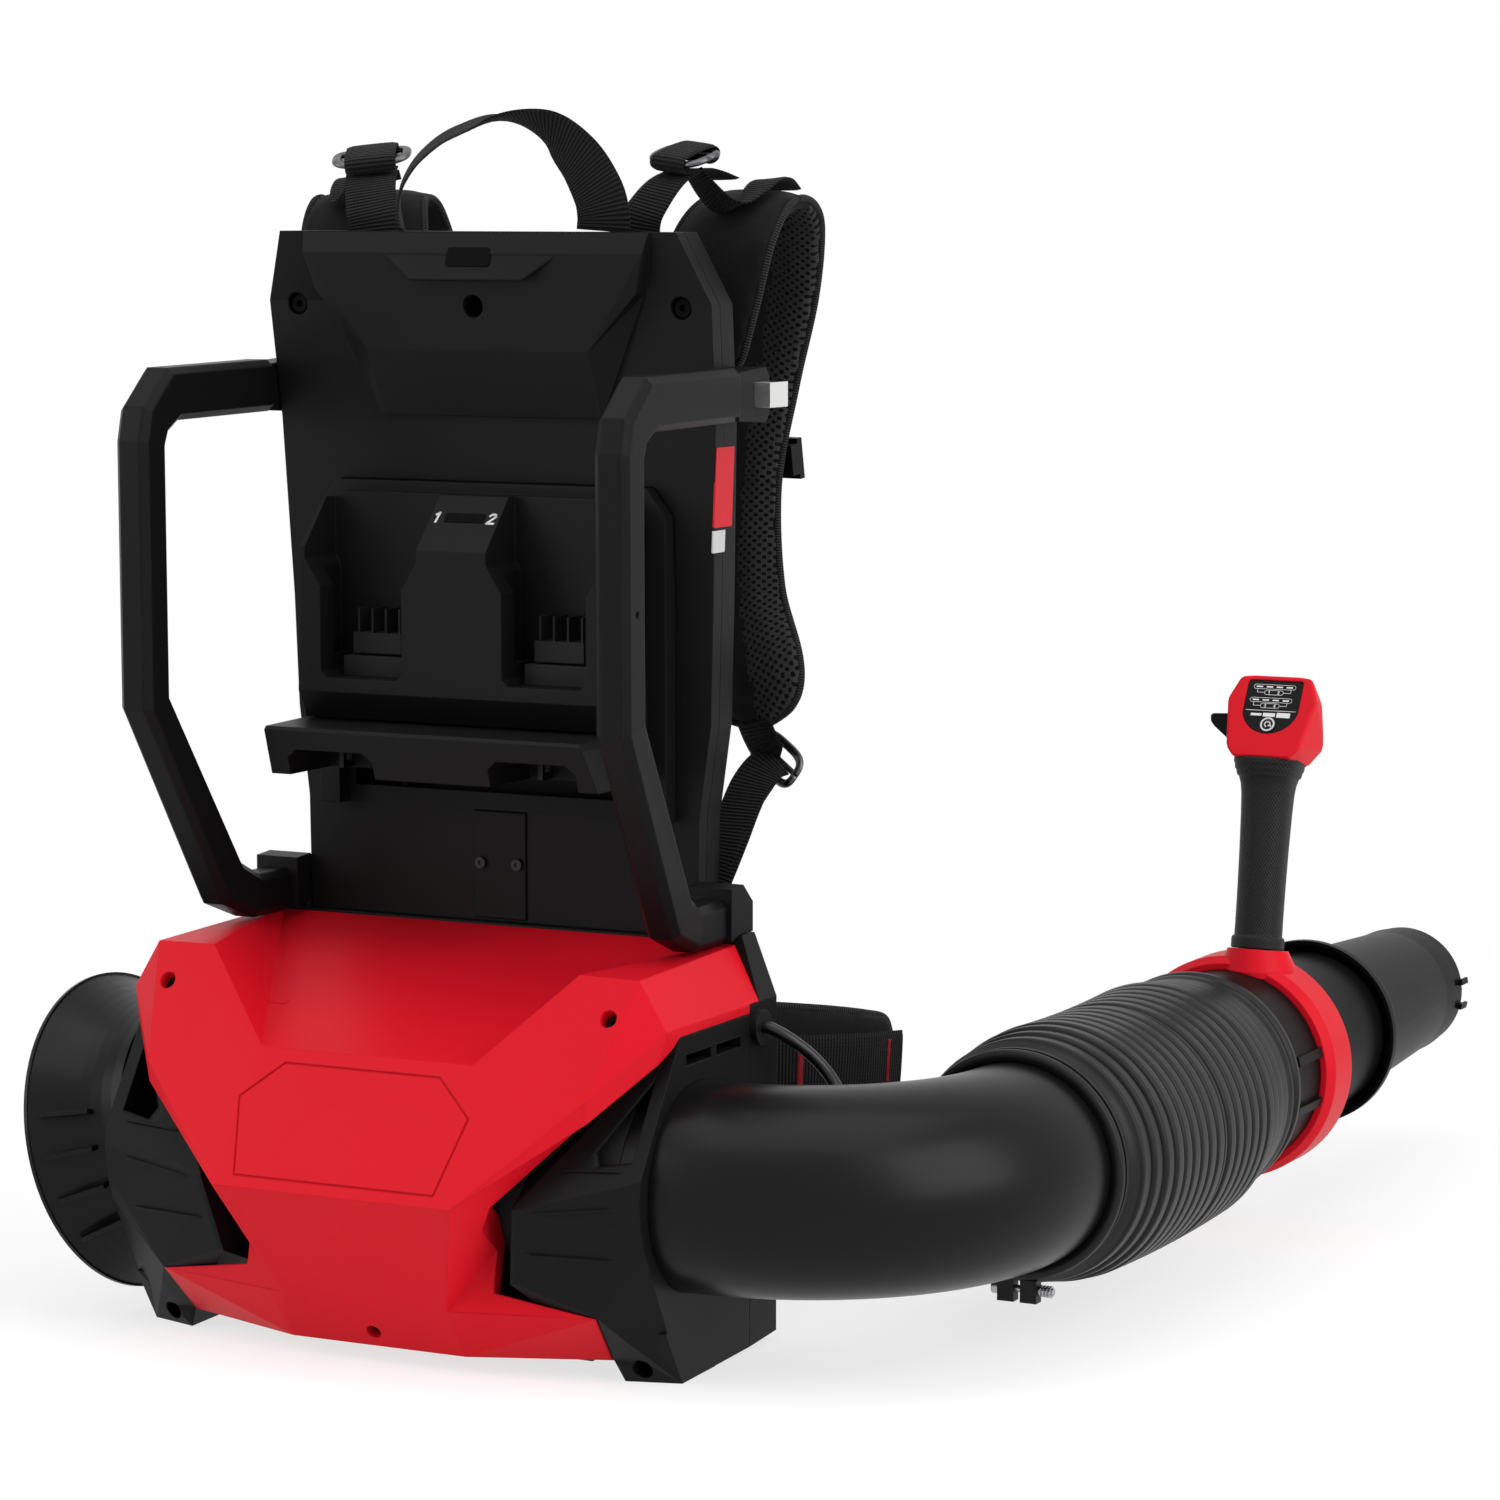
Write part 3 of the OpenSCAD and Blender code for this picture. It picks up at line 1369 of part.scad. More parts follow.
module lower_straps() {
    color([0.06, 0.06, 0.065]) both_sides() lower_strap();
}

module lower_buckles() {
    color([0.08, 0.08, 0.085]) both_sides() translate([128, 103.4, 322]) rotate([-20, 0, -14]) difference() {
        translate([-21, -4, -7]) cube([42, 6, 18]);
        translate([-strap_w / 2 - 1, -10, 5]) cube([strap_w + 2, 20, 4]);
        translate([-strap_w / 2 - 1, -10, -3]) cube([strap_w + 2, 20, 4]);
    }
}

module pad_slider() {
    color([0.08, 0.08, 0.085]) translate([116, 146, 495]) rotate([8, 0, -14]) {
        translate([-16, 0, -12]) cube([32, 4, 24]);
        translate([12, -6, -9]) cube([4, 10, 18]);
    }
}

hip_points = [
    [84, base_back + 7, 153], [114, base_back + 13, 153], [140, 66, 153], [162, 92, 152], [178, 126, 149], [184, 158, 146]
];

module hip_wing() {
    path = curve(hip_points, 4);
    last = len(path) - 1;
    band(path, [for (p = path) [0, 0, 1]], [
        for (i = [0 : last])
            let (f = i / last, w = 36 - 9 * pow(f, 2), t = 6.5 * (i == 0 || i == last ? 0.6 : 1))
            oval(12, w, t, 0.55)
    ]);
}

module hip_wing_right() {
    color([0.07, 0.07, 0.075]) hip_wing();
}

module hip_wing_left() {
    color([0.07, 0.07, 0.075]) mirror([1, 0, 0]) hip_wing();
}

module hip_webbing() {
    path = curve(hip_points, 3);
    out = [for (i = [3 : len(path) - 1]) path[i] + unit(cross(tangent(path, i), [0, 0, 1])) * (6.5 + soft_gap + web_t / 2) - [0, 0, 3]];
    color([0.06, 0.06, 0.065]) both_sides() webbing(out, [0, 0, 1], web_w);
}

// Stored flat against the inner side of each wing's end
module hip_buckle() {
    color([0.08, 0.08, 0.085]) both_sides() translate([170, 142, 143]) rotate([0, 0, 79.4])
        translate([-12, -4, -20]) cube([26, 7, 40]);
}

// ---- the machine ----

rear_housing();
front_cover();
left_end_cap();
right_end_cap();
fan_duct();
motor_pod();
motor();
bearings();
fan_shaft();
fan_rotor();
intake_bell();
intake_guard();
elbow();
hose_clamp();
clamp_screw();
hose_rear();
hose_mid_ring();
hose_front();
front_tube();
clamp_ring();
nozzle();
grip();
control_head();
display_window();
mode_button();
throttle_trigger();
trigger_spring();
cruise_lever();
pivot_pins();
cable_grommets();
control_cable();
back_frame();
front_panel();
battery_dock();
terminal_blocks();
support_shelf();
latch_keepers();
lower_cover();
side_handle_left();
side_handle_right();
handle_clamps();
handle_hook();
controller_board();
panel_screws();
housing_screws();
cover_screws();
back_cushion();
shoulder_pad_left();
shoulder_pad_right();
carry_strap();
upper_straps();
upper_buckles();
lower_straps();
lower_buckles();
pad_slider();
hip_wing_left();
hip_wing_right();
hip_webbing();
hip_buckle();
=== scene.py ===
"""Looks of the backpack leaf blower: moulded covers, ribbed hose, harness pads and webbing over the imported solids.
Metres; +Z up, +Y the way the wearer faces, +X the wearer's right. Routes and sizes below are in millimetres."""

import math
from types import SimpleNamespace

import bmesh
import bpy
import numpy as np
from mathutils import Matrix, Vector


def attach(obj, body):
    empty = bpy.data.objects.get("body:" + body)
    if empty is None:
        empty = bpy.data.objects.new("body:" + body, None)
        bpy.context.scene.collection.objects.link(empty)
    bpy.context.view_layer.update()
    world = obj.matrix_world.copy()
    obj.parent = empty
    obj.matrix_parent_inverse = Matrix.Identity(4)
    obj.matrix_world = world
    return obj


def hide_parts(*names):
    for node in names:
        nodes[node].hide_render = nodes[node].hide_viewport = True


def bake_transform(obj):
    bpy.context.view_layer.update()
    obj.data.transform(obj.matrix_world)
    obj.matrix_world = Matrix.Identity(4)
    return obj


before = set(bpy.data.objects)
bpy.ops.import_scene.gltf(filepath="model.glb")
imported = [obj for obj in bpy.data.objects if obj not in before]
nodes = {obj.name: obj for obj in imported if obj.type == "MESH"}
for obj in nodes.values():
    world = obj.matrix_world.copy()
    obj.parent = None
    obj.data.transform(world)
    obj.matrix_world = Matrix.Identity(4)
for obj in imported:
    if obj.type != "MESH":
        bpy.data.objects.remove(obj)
bpy.context.view_layer.update()

MM = 0.001
FAN_Z = 107.0                            # height of the fan's, elbow's and tube's axis
TUBE_X = 305.0                           # the tube's distance from the machine's middle plane
HOSE_Y0, HOSE_Y1, HOSE_SAG = 63.0, 343.0, 5.0
HOSE_MID = (HOSE_Y0 + HOSE_Y1) / 2
RIB_R, VALLEY_R, HOSE_IN = 75.0, 68.0, 66.0
RIBS, CUFF_LEN, RING_HALF = 9, 22.0, 3.0  # per half hose; cuff at each end; half the middle ring
FRAME_TOP = 627.0
WEB_W, STRAP_W, TAIL_W, WEB_T = 34.0, 30.0, 24.0, 1.8
PAD_T, BACK_T, HIP_T = 17.0, 20.0, 13.0
FRAME_BACK = 41.0                        # the frame's own back face, where the cushion begins
GRIP_FOOT, GRIP_LEAN = (317, 416, 180), 9
SIDEWAYS, UPRIGHT = np.array([1.0, 0, 0]), np.array([0, 0, 1.0])


# ---- meshes from arrays ----

def linked(name, data):
    """A new object in the scene."""
    obj = bpy.data.objects.new(name, data)
    bpy.context.scene.collection.objects.link(obj)
    return obj


def piece(name, points, quads, tris=None, weave=None, smooth=True):
    """An object from vertex rows and face rows; weave gives each vertex its place on the cloth, in metres."""
    points = np.asarray(points, float).reshape(-1, 3)
    quads = np.asarray(quads, int).reshape(-1, 4)
    tris = np.zeros((0, 3), int) if tris is None else np.asarray(tris, int).reshape(-1, 3)
    corners = np.concatenate([quads.ravel(), tris.ravel()]).astype(np.int32)
    starts = np.concatenate([4 * np.arange(len(quads)), 4 * len(quads) + 3 * np.arange(len(tris))]).astype(np.int32)
    mesh = bpy.data.meshes.new(name)
    mesh.vertices.add(len(points))
    mesh.vertices.foreach_set("co", points.astype(np.float32).ravel())
    mesh.loops.add(len(corners))
    mesh.loops.foreach_set("vertex_index", corners)
    mesh.polygons.add(len(starts))
    mesh.polygons.foreach_set("loop_start", starts)
    mesh.update(calc_edges=True)
    mesh.polygons.foreach_set("use_smooth", np.full(len(starts), smooth))
    if weave is not None:
        set_weave(mesh, weave)
    return linked(name, mesh)


def shade(obj, smooth):
    obj.data.polygons.foreach_set("use_smooth", np.full(len(obj.data.polygons), smooth))
    return obj


def set_weave(mesh, weave):
    rows = np.zeros((len(mesh.vertices), 3), np.float32)
    rows[:, :2] = np.asarray(weave).reshape(-1, 2)
    place = mesh.attributes.get("weave") or mesh.attributes.new("weave", "FLOAT_VECTOR", "POINT")
    place.data.foreach_set("vector", rows.ravel())


def lofted(name, rings, weave=None, capped=True):
    """Skin through rings (rows, around, 3): row k joins row k + 1, and each end closes to its middle point.
    The faces are turned round if the volume they enclose comes out negative."""
    rings = np.asarray(rings, float)
    rows, around = rings.shape[:2]
    k, j = np.meshgrid(np.arange(rows - 1), np.arange(around), indexing="ij")
    n = (j + 1) % around
    quads = np.stack([k * around + j, k * around + n, (k + 1) * around + n, (k + 1) * around + j], -1).reshape(-1, 4)
    points, tris = rings.reshape(-1, 3), None
    if capped:
        j = np.arange(around)
        n, last = (j + 1) % around, (rows - 1) * around
        first_mid, last_mid = rows * around, rows * around + 1
        tris = np.concatenate([
            np.stack([np.full(around, first_mid), n, j], -1),
            np.stack([np.full(around, last_mid), last + j, last + n], -1)
        ])
        points = np.concatenate([points, rings[:1].mean(1), rings[-1:].mean(1)])
        if weave is not None:
            weave = np.concatenate([np.reshape(weave, (-1, 2)), weave[:1].mean(1), weave[-1:].mean(1)])
    a, b, c, d = (points[quads[:, i]] for i in range(4))
    if (np.cross(a, b) * c).sum() + (np.cross(a, c) * d).sum() < 0:
        quads = quads[:, ::-1]
        tris = None if tris is None else tris[:, ::-1]
    return piece(name, points, quads, tris, weave)


def route(points, step=4.0, extra=None):
    """Smooth line through the points in metres: Catmull-Rom pieces sampled finely, then spaced evenly by length.
    extra holds one more value for each point, carried along in the same way."""
    p = np.asarray(points, float) if extra is None else np.column_stack([points, extra])
    q = np.vstack([p[:1], p, p[-1:]])
    t = np.linspace(0, 1, 24, endpoint=False)[:, None]
    fine = np.vstack([
        (2 * b + (c - a) * t + (2 * a - 5 * b + 4 * c - d) * t ** 2 + (3 * b - a - 3 * c + d) * t ** 3) / 2
        for a, b, c, d in zip(q[:-3], q[1:-2], q[2:-1], q[3:])
    ] + [p[-1:]])
    run = np.concatenate([[0], np.cumsum(np.linalg.norm(np.diff(fine[:, :3], axis=0), axis=1))])
    even = np.linspace(0, run[-1], max(2, int(round(run[-1] / step)) + 1))
    out = np.stack([np.interp(even, run, fine[:, i]) for i in range(fine.shape[1])], -1)
    return out[:, :3] * MM, even * MM, *out[:, 3:].T


def unit(v):
    return v / np.linalg.norm(v, axis=-1, keepdims=True)


def frames_along(path, across):
    """Unit vectors across the band and out of its face, at each point of the path."""
    ahead = unit(np.gradient(path, axis=0))
    out = unit(np.cross(ahead, np.broadcast_to(across, path.shape)))
    return unit(np.cross(ahead, out)), out


def swept(path, across, outline):
    """Carries outline (rows or 1, m, 2), in metres, along the path: across the band, then out of its face."""
    side, out = frames_along(path, across)
    return path[:, None] + side[:, None] * outline[..., :1] + out[:, None] * outline[..., 1:]


def strap_outline(width, thick, crown=0.25):
    """Flat webbing section, all in millimetres: half the thickness times sqrt(1 - |u|^9) each way, so that the selvages
    are round, and a slight crown of crown * (1 - u^2); u runs from -1 to 1 across its width."""
    u = np.linspace(-1, 1, 11)
    half = thick / 2 * np.sqrt(np.clip(1 - np.abs(u) ** 9, 0.04, 1))
    bow = crown * (1 - u ** 2)
    top = np.stack([u * width / 2, half + bow], -1)
    low = np.stack([u[::-1] * width / 2, -half[::-1] + bow[::-1]], -1)
    return np.concatenate([top, low])[None] * MM


def webbing(name, points, across, width, thick=WEB_T, step=3.0):
    """A strap of woven webbing along the route; across may change evenly from its first to its last row."""
    path, run = route(points, step)
    across = np.asarray(across, float)
    if across.ndim == 2:
        f = np.linspace(0, 1, len(path))[:, None]
        across = across[0] * (1 - f) + across[1] * f
    outline = strap_outline(width, thick)
    weave = np.stack(np.broadcast_arrays(run[:, None], outline[..., 0]), -1)
    return lofted(name, swept(path, across, outline), weave)


def cord_form(name, points, radius, step=2.0, around=20):
    """A round cable of the given radius along the route, all in millimetres."""
    path, run = route(points, step)
    turn = np.linspace(0, 2 * np.pi, around, endpoint=False)
    outline = np.stack([np.cos(turn), np.sin(turn)], -1)[None] * radius * MM
    weave = np.stack(np.broadcast_arrays(run[:, None], turn[None] * radius * MM), -1)
    return lofted(name, swept(path, [0.1, 1.0, 0.25], outline), weave)


def mirrored(obj, name):
    """The same piece on the machine's left, with its faces turned back outwards."""
    mesh = obj.data.copy()
    mesh.transform(Matrix.Diagonal((-1, 1, 1, 1)))
    mesh.flip_normals()
    return linked(name, mesh)


def joined(name, parts):
    """Several meshes as one object."""
    with bpy.context.temp_override(active_object=parts[0], selected_editable_objects=parts, object=parts[0]):
        bpy.ops.object.join()
    parts[0].name = name
    return parts[0]


def both_sides(obj, name=None):
    """A piece of the right side joined with its mirror image."""
    return joined(name or obj.name, [obj, mirrored(obj, obj.name + "_left")])


def on_plane(face, flat, height):
    """Points on a face, height in front of it. A face is its origin, the directions right and up on it and its
    outward normal, in millimetres."""
    origin, right, up, normal = (np.asarray(v, float) for v in face)
    return origin + flat[..., :1] * right + flat[..., 1:] * up + height * normal


def placed(points, place):
    """Points in a placing matrix's own millimetres, brought into the shared frame in metres."""
    return (np.concatenate([points, np.ones_like(points[..., :1])], -1) @ np.array(place).T)[..., :3] * MM


def bars(name, face, a, b, wide, high=0.1, sink=0.15):
    """Flat printed or moulded bars on a face: bar k runs from a[k] to b[k] and stands high over the face."""
    a, b = np.asarray(a, float).reshape(-1, 2), np.asarray(b, float).reshape(-1, 2)
    ahead = unit(b - a)
    side = np.stack([-ahead[:, 1], ahead[:, 0]], -1) * np.reshape(wide, (-1, 1)) / 2
    flat = np.stack([a - side, b - side, b + side, a + side], 1)
    points = np.concatenate([on_plane(face, flat, -sink), on_plane(face, flat, high)], 1) * MM
    box = np.array([[3, 2, 1, 0], [4, 5, 6, 7], [0, 1, 5, 4], [1, 2, 6, 5], [2, 3, 7, 6], [3, 0, 4, 7]])
    return piece(name, points, (np.arange(len(a))[:, None, None] * 8 + box).reshape(-1, 4), smooth=False)


def outline_bars(points, closed, reach):
    """The two ends of each edge of a line on a face, each drawn out a little so that corners fill."""
    p = np.asarray(points, float)
    q = np.roll(p, -1, 0) if closed else p[1:]
    p = p if closed else p[:-1]
    real = np.linalg.norm(q - p, axis=1) > 1e-6
    p, q = p[real], q[real]
    step = unit(q - p) * reach
    return p - step, q + step


def arc(radius, start, end, count):
    """Points of an arc about the origin, from start to end in degrees."""
    turn = np.radians(np.linspace(start, end, count))
    return np.stack([radius * np.cos(turn), radius * np.sin(turn)], -1)


def oval(x, z, wide, tall, corner=None, count=9):
    """Points of a rectangle with round corners."""
    r = min(wide, tall) / 2 if corner is None else corner
    w, h = wide / 2 - r, tall / 2 - r
    return np.concatenate([
        arc(r, 90 * k, 90 * k + 90, count) + (x + i * w, z + j * h)
        for k, (i, j) in enumerate(((1, 1), (-1, 1), (-1, -1), (1, -1)))
    ])


def plaque(name, face, outline, thick, round_edge=0.25, sink=0.6):
    """A thin plate on a face, from its outline there, with its upper edge rounded off."""
    outline = np.asarray(outline, float)
    middle = outline.mean(0)
    far = np.abs(outline - middle).max()
    steps = ((0, -sink), (0, thick - round_edge), (0.3 * round_edge, thick - 0.3 * round_edge), (round_edge, thick))
    rings = [on_plane(face, middle + (outline - middle) * (1 - inset / far), height) for inset, height in steps]
    return shade(lofted(name, np.array(rings) * MM), False)


def hull_form(name, points, place, round_off, segments=4):
    """The solid that just holds the points, with its edges rounded; place is a matrix in millimetres."""
    bm = bmesh.new()
    for p in points:
        bm.verts.new(p)
    made = bmesh.ops.convex_hull(bm, input=bm.verts)
    spare = [v for v in made["geom_interior"] + made["geom_unused"] if isinstance(v, bmesh.types.BMVert)]
    bmesh.ops.delete(bm, geom=spare, context="VERTS")
    bmesh.ops.dissolve_limit(bm, angle_limit=math.radians(2), verts=bm.verts, edges=bm.edges)
    bmesh.ops.bevel(bm, geom=bm.edges[:], offset=round_off, segments=segments, profile=0.5, affect="EDGES",
                    clamp_overlap=True)
    bmesh.ops.recalc_face_normals(bm, faces=bm.faces)
    bm.transform(Matrix.Scale(MM, 4) @ place)
    mesh = bpy.data.meshes.new(name)
    bm.to_mesh(mesh)
    bm.free()
    return linked(name, mesh)


def prism(name, outline, low, high, place):
    """A straight block: an outline in the plane across Y, from low to high along it."""
    rings = np.array([np.insert(np.asarray(outline, float), 1, y, axis=1) for y in (low, high)])
    return shade(lofted(name, placed(rings, place)), False)


def applied(obj):
    """The object's shape with its modifiers, as a new mesh."""
    return bpy.data.meshes.new_from_object(obj.evaluated_get(bpy.context.evaluated_depsgraph_get()))


def carved(obj, cutters):
    """Takes the cutters' solids out of the piece."""
    for c in cutters:
        cut = obj.modifiers.new("cut", "BOOLEAN")
        cut.operation, cut.solver, cut.object = "DIFFERENCE", "EXACT", c
    done = applied(obj)
    obj.modifiers.clear()
    obj.data = done
    for c in cutters:
        bpy.data.objects.remove(c)
    return obj


# ---- materials ----

def add(tree, kind, links=None, **values):
    """Adds a shader node and gives its outputs: values set its own properties, links sets or joins its sockets."""
    made = tree.nodes.new("ShaderNode" + kind)
    for k, v in values.items():
        setattr(made, k, v)
    for socket, v in (links or {}).items():
        if isinstance(v, bpy.types.NodeSocket):
            tree.links.new(v, made.inputs[socket])
        else:
            made.inputs[socket].default_value = v
    return made.outputs


def bare(owner):
    """The node tree of a material or a world, emptied."""
    owner.use_nodes = True
    owner.node_tree.nodes.clear()
    return owner.node_tree


def finish_named(name):
    mat = bpy.data.materials.new(name)
    return mat, bare(mat)


def surfaced(mat, **surface):
    """Gives a material its principled shader, with these of its sockets set or joined."""
    tree = mat.node_tree
    shader = add(tree, "BsdfPrincipled", {k.replace("_", " "): v for k, v in surface.items()})
    add(tree, "OutputMaterial", {"Surface": shader[0]})
    return mat


def grey(v):
    return (v, v, v, 1)


def scaled(colour, share):
    """A colour made darker or lighter by a share, with its alpha kept."""
    return tuple(c * share for c in colour[:3]) + (1,)


def blended(tree, factor, a, b):
    return add(tree, "Mix", {0: factor, 6: a, 7: b}, data_type="RGBA")[2]


def mapped(tree, value, low, high, a=0.0, b=1.0):
    return add(tree, "MapRange", {0: value, 1: a, 2: b, 3: low, 4: high})[0]


def sums(tree, how, a, b=0.0):
    return add(tree, "Math", {0: a, 1: b}, operation=how)[0]


def times(tree, a, b):
    return sums(tree, "MULTIPLY", a, b)


def noise(tree, place, scale, detail, distortion=0.0):
    links = {"Vector": place, "Scale": scale, "Detail": detail, "Distortion": distortion}
    return add(tree, "TexNoise", links)["Fac"]


def wave(tree, how, value, pitch):
    """SINE or COSINE of a length, once round for each pitch."""
    return sums(tree, how, times(tree, value, 2 * math.pi / pitch))


def bumped(tree, height, strength, distance, normal=None):
    links = {"Strength": strength, "Distance": distance, "Height": height}
    if normal is not None:
        links["Normal"] = normal
    return add(tree, "Bump", links)[0]


def soft_edges(tree, radius):
    return add(tree, "Bevel", {"Radius": radius}, samples=4)[0]


def on_object(tree):
    return add(tree, "TexCoord")["Object"]


def on_cloth(tree):
    """The weave attribute, whole and as its lengths along and across the cloth."""
    place = add(tree, "Attribute", attribute_name="weave")["Vector"]
    return place, add(tree, "SeparateXYZ", {0: place})


def moulded(name, colour, rough, grain=1400, depth=0.00005, edge=0.0011, specular=0.3, mottle=0.06):
    """Moulded plastic: a spark-eroded grain in the bump, softly rounded edges, and a little drift in sheen and tone."""
    mat, tree = finish_named(name)
    place = on_object(tree)
    fine, broad = noise(tree, place, grain, 2.0), noise(tree, place, 14.0, 3.0)
    sheen = sums(tree, "ADD", mapped(tree, broad, rough - 0.04, rough + 0.03), mapped(tree, fine, -0.03, 0.03))
    return surfaced(mat, Base_Color=blended(tree, broad, scaled(colour, 1 - mottle), colour), Roughness=sheen,
                    Specular_IOR_Level=specular, Normal=bumped(tree, fine, 0.5, depth, soft_edges(tree, edge)))


def woven(name, dark, lit, rib=0.0021):
    """Webbing: a sine of the length along it for the ribs, 0.22 of a sine of the length across it for the yarns, and
    half a noise, in tone and bump. The tone is painted light and shade: the crests get the lit colour and the
    grooves the dark one."""
    mat, tree = finish_named(name)
    place, part = on_cloth(tree)
    yarn = times(tree, wave(tree, "SINE", part[1], 0.0022), 0.22)
    height = sums(tree, "ADD", wave(tree, "SINE", part[0], rib), yarn)
    height = sums(tree, "ADD", height, times(tree, noise(tree, place, 900.0, 3.0), 0.5))
    # Painted shade and light: the grooves take the dark colour and the crests the lit one.
    tone = mapped(tree, height, 0.0, 1.0, -0.9, 1.5)
    return surfaced(mat, Base_Color=blended(tree, tone, dark, lit), Roughness=0.8, Specular_IOR_Level=0.1,
                    Sheen_Weight=0.04, Sheen_Roughness=0.5, Normal=bumped(tree, height, 0.8, 0.0005))


def spacer_mesh(name, tone, pitch=0.0052, stretch=1.12):
    """Open spacer mesh: round holes on a net, from the product of two cosines of the lengths along and across.
    The holes are painted near black, as painted shade inside them; the threads vary in tone with a fine noise.
    """
    mat, tree = finish_named(name)
    place, part = on_cloth(tree)
    net = times(tree, wave(tree, "COSINE", part[0], pitch), wave(tree, "COSINE", part[1], pitch * stretch))
    hole = mapped(tree, net, 0.0, 1.0, 0.12, 0.42)
    fuzz = noise(tree, place, 1500.0, 2.0)
    lit = blended(tree, fuzz, grey(tone * 2.6), grey(tone * 5.5))
    height = sums(tree, "SUBTRACT", times(tree, fuzz, 0.3), hole)
    # Painted shade: the holes take 0.1 of the tone, for the shade inside them.
    return surfaced(mat, Base_Color=blended(tree, hole, lit, grey(tone * 0.1)), Roughness=0.8, Specular_IOR_Level=0.08,
                    Sheen_Weight=0.04, Sheen_Roughness=0.5, Normal=bumped(tree, height, 0.9, 0.0012))


def plain_cloth(name, tone, thread=0.0009):
    """Close plain-woven nylon with soft wrinkles: the product of two sines for its threads, and a broad noise.
    The threads also set the colour: painted shade between them and painted light on them.
    """
    mat, tree = finish_named(name)
    part = on_cloth(tree)[1]
    threads = times(tree, wave(tree, "SINE", part[0], thread), wave(tree, "SINE", part[1], thread))
    folds = noise(tree, on_object(tree), 34.0, 4.0, 0.6)
    # Painted shade and light: darker between the threads, lighter on them.
    shown = mapped(tree, threads, 0.2, 1.0, -1.0, 1.0)
    normal = bumped(tree, folds, 0.35, 0.004, bumped(tree, threads, 0.5, 0.0002))
    return surfaced(mat, Base_Color=blended(tree, shown, grey(tone * 0.6), grey(tone * 1.6)), Roughness=0.72,
                    Specular_IOR_Level=0.1, Sheen_Weight=0.05, Sheen_Roughness=0.4, Normal=normal)


def plated(name, colour, rough, scratch=0.1):
    """Plated or rolled metal: fine directional scratches in the roughness and a faint bump."""
    mat, tree = finish_named(name)
    drawn = add(tree, "Mapping", {"Vector": on_object(tree), "Scale": (400.0, 60.0, 2600.0)})[0]
    lines = noise(tree, drawn, 1.0, 3.0)
    sheen = mapped(tree, lines, rough - scratch / 2, rough + scratch)
    return surfaced(mat, Base_Color=colour, Metallic=1.0, Roughness=sheen,
                    Normal=bumped(tree, lines, 0.15, 0.00005, soft_edges(tree, 0.0004)))


def pebbled(name, colour, cell=0.0030, grooves=26.0):
    """Soft grip rubber with small raised diamonds: two families of slanting grooves round the grip's own axis, from
    the angle about it and the height along it. The relief also sets the colour: painted shade in the grooves, down
    to 0.1 of the rubber's colour, and lighter diamond tops as painted light."""
    mat, tree = finish_named(name)
    foot = tuple(v * MM for v in GRIP_FOOT)
    from_foot = add(tree, "VectorMath", {0: on_object(tree), 1: foot}, operation="SUBTRACT")[0]
    lean = (math.radians(GRIP_LEAN), 0.0, 0.0)
    upright = add(tree, "Mapping", {"Vector": from_foot, "Rotation": lean})[0]
    part = add(tree, "SeparateXYZ", {0: upright})
    turn = times(tree, sums(tree, "ARCTAN2", part[1], part[0]), grooves)
    climb = times(tree, part[2], math.pi / cell)
    cuts = [sums(tree, "ABSOLUTE", sums(tree, "SINE", sums(tree, how, turn, climb))) for how in ("ADD", "SUBTRACT")]
    relief = mapped(tree, times(tree, *cuts), 0.0, 1.0, 0.0, 0.35)
    # Painted shade: the grooves darken to 0.1 of the colour, the diamond tops are lighter.
    return surfaced(mat, Base_Color=blended(tree, relief, scaled(colour, 0.1), scaled(colour, 2.3)),
                    Roughness=mapped(tree, relief, 0.62, 0.45), Specular_IOR_Level=0.2,
                    Normal=bumped(tree, relief, 0.9, 0.0007))


def flat_finish(name, tone, rough, specular):
    return surfaced(finish_named(name)[0], Base_Color=grey(tone), Roughness=rough, Specular_IOR_Level=specular)


red_cover = moulded("red_cover_plastic", (0.71, 0.0075, 0.019, 1), 0.42, mottle=0.05, specular=0.1)
black_cover = moulded("black_cover_plastic", (0.0062, 0.0062, 0.0066, 1), 0.44, depth=0.00008, specular=0.1)
handle_black = moulded("handle_plastic", (0.0055, 0.0055, 0.006, 1), 0.4, edge=0.0022, depth=0.00006, specular=0.09)
tube_black = moulded("air_tube_plastic", (0.0045, 0.0045, 0.0049, 1), 0.32, grain=900, depth=0.00003, edge=0.0009,
                     specular=0.15)
nozzle_black = moulded("nozzle_plastic", (0.0042, 0.0042, 0.0045, 1), 0.4, grain=900, depth=0.00004, edge=0.0009,
                       specular=0.05)
inner_grey = moulded("inner_parts_plastic", (0.014, 0.014, 0.0155, 1), 0.5, specular=0.12)
hose_black = moulded("hose_rubber", (0.0075, 0.0075, 0.008, 1), 0.42, grain=700, depth=0.00012, edge=0.0004,
                     specular=0.2)
cable_black = moulded("cable_jacket", (0.005, 0.005, 0.0055, 1), 0.3, depth=0.00002, edge=0.0003, specular=0.35)
control_black = moulded("control_plastic", (0.005, 0.005, 0.0055, 1), 0.42, edge=0.0006, specular=0.14)
buckle_black = moulded("buckle_plastic", (0.005, 0.005, 0.0055, 1), 0.36, edge=0.0008, specular=0.16)
recess_black = moulded("screw_black_oxide", (0.0014, 0.0014, 0.0015, 1), 0.5, edge=0.0003, specular=0.04)
grip_black = pebbled("grip_rubber", (0.0075, 0.0075, 0.008, 1))
# Webbing colours: dark is the painted shade in the grooves, lit the painted light on the ribs.
web_black = woven("strap_webbing", grey(0.0014), grey(0.0168))
mesh_black = spacer_mesh("pad_spacer_mesh", 0.008)
cloth_black = plain_cloth("pad_cloth", 0.0042)
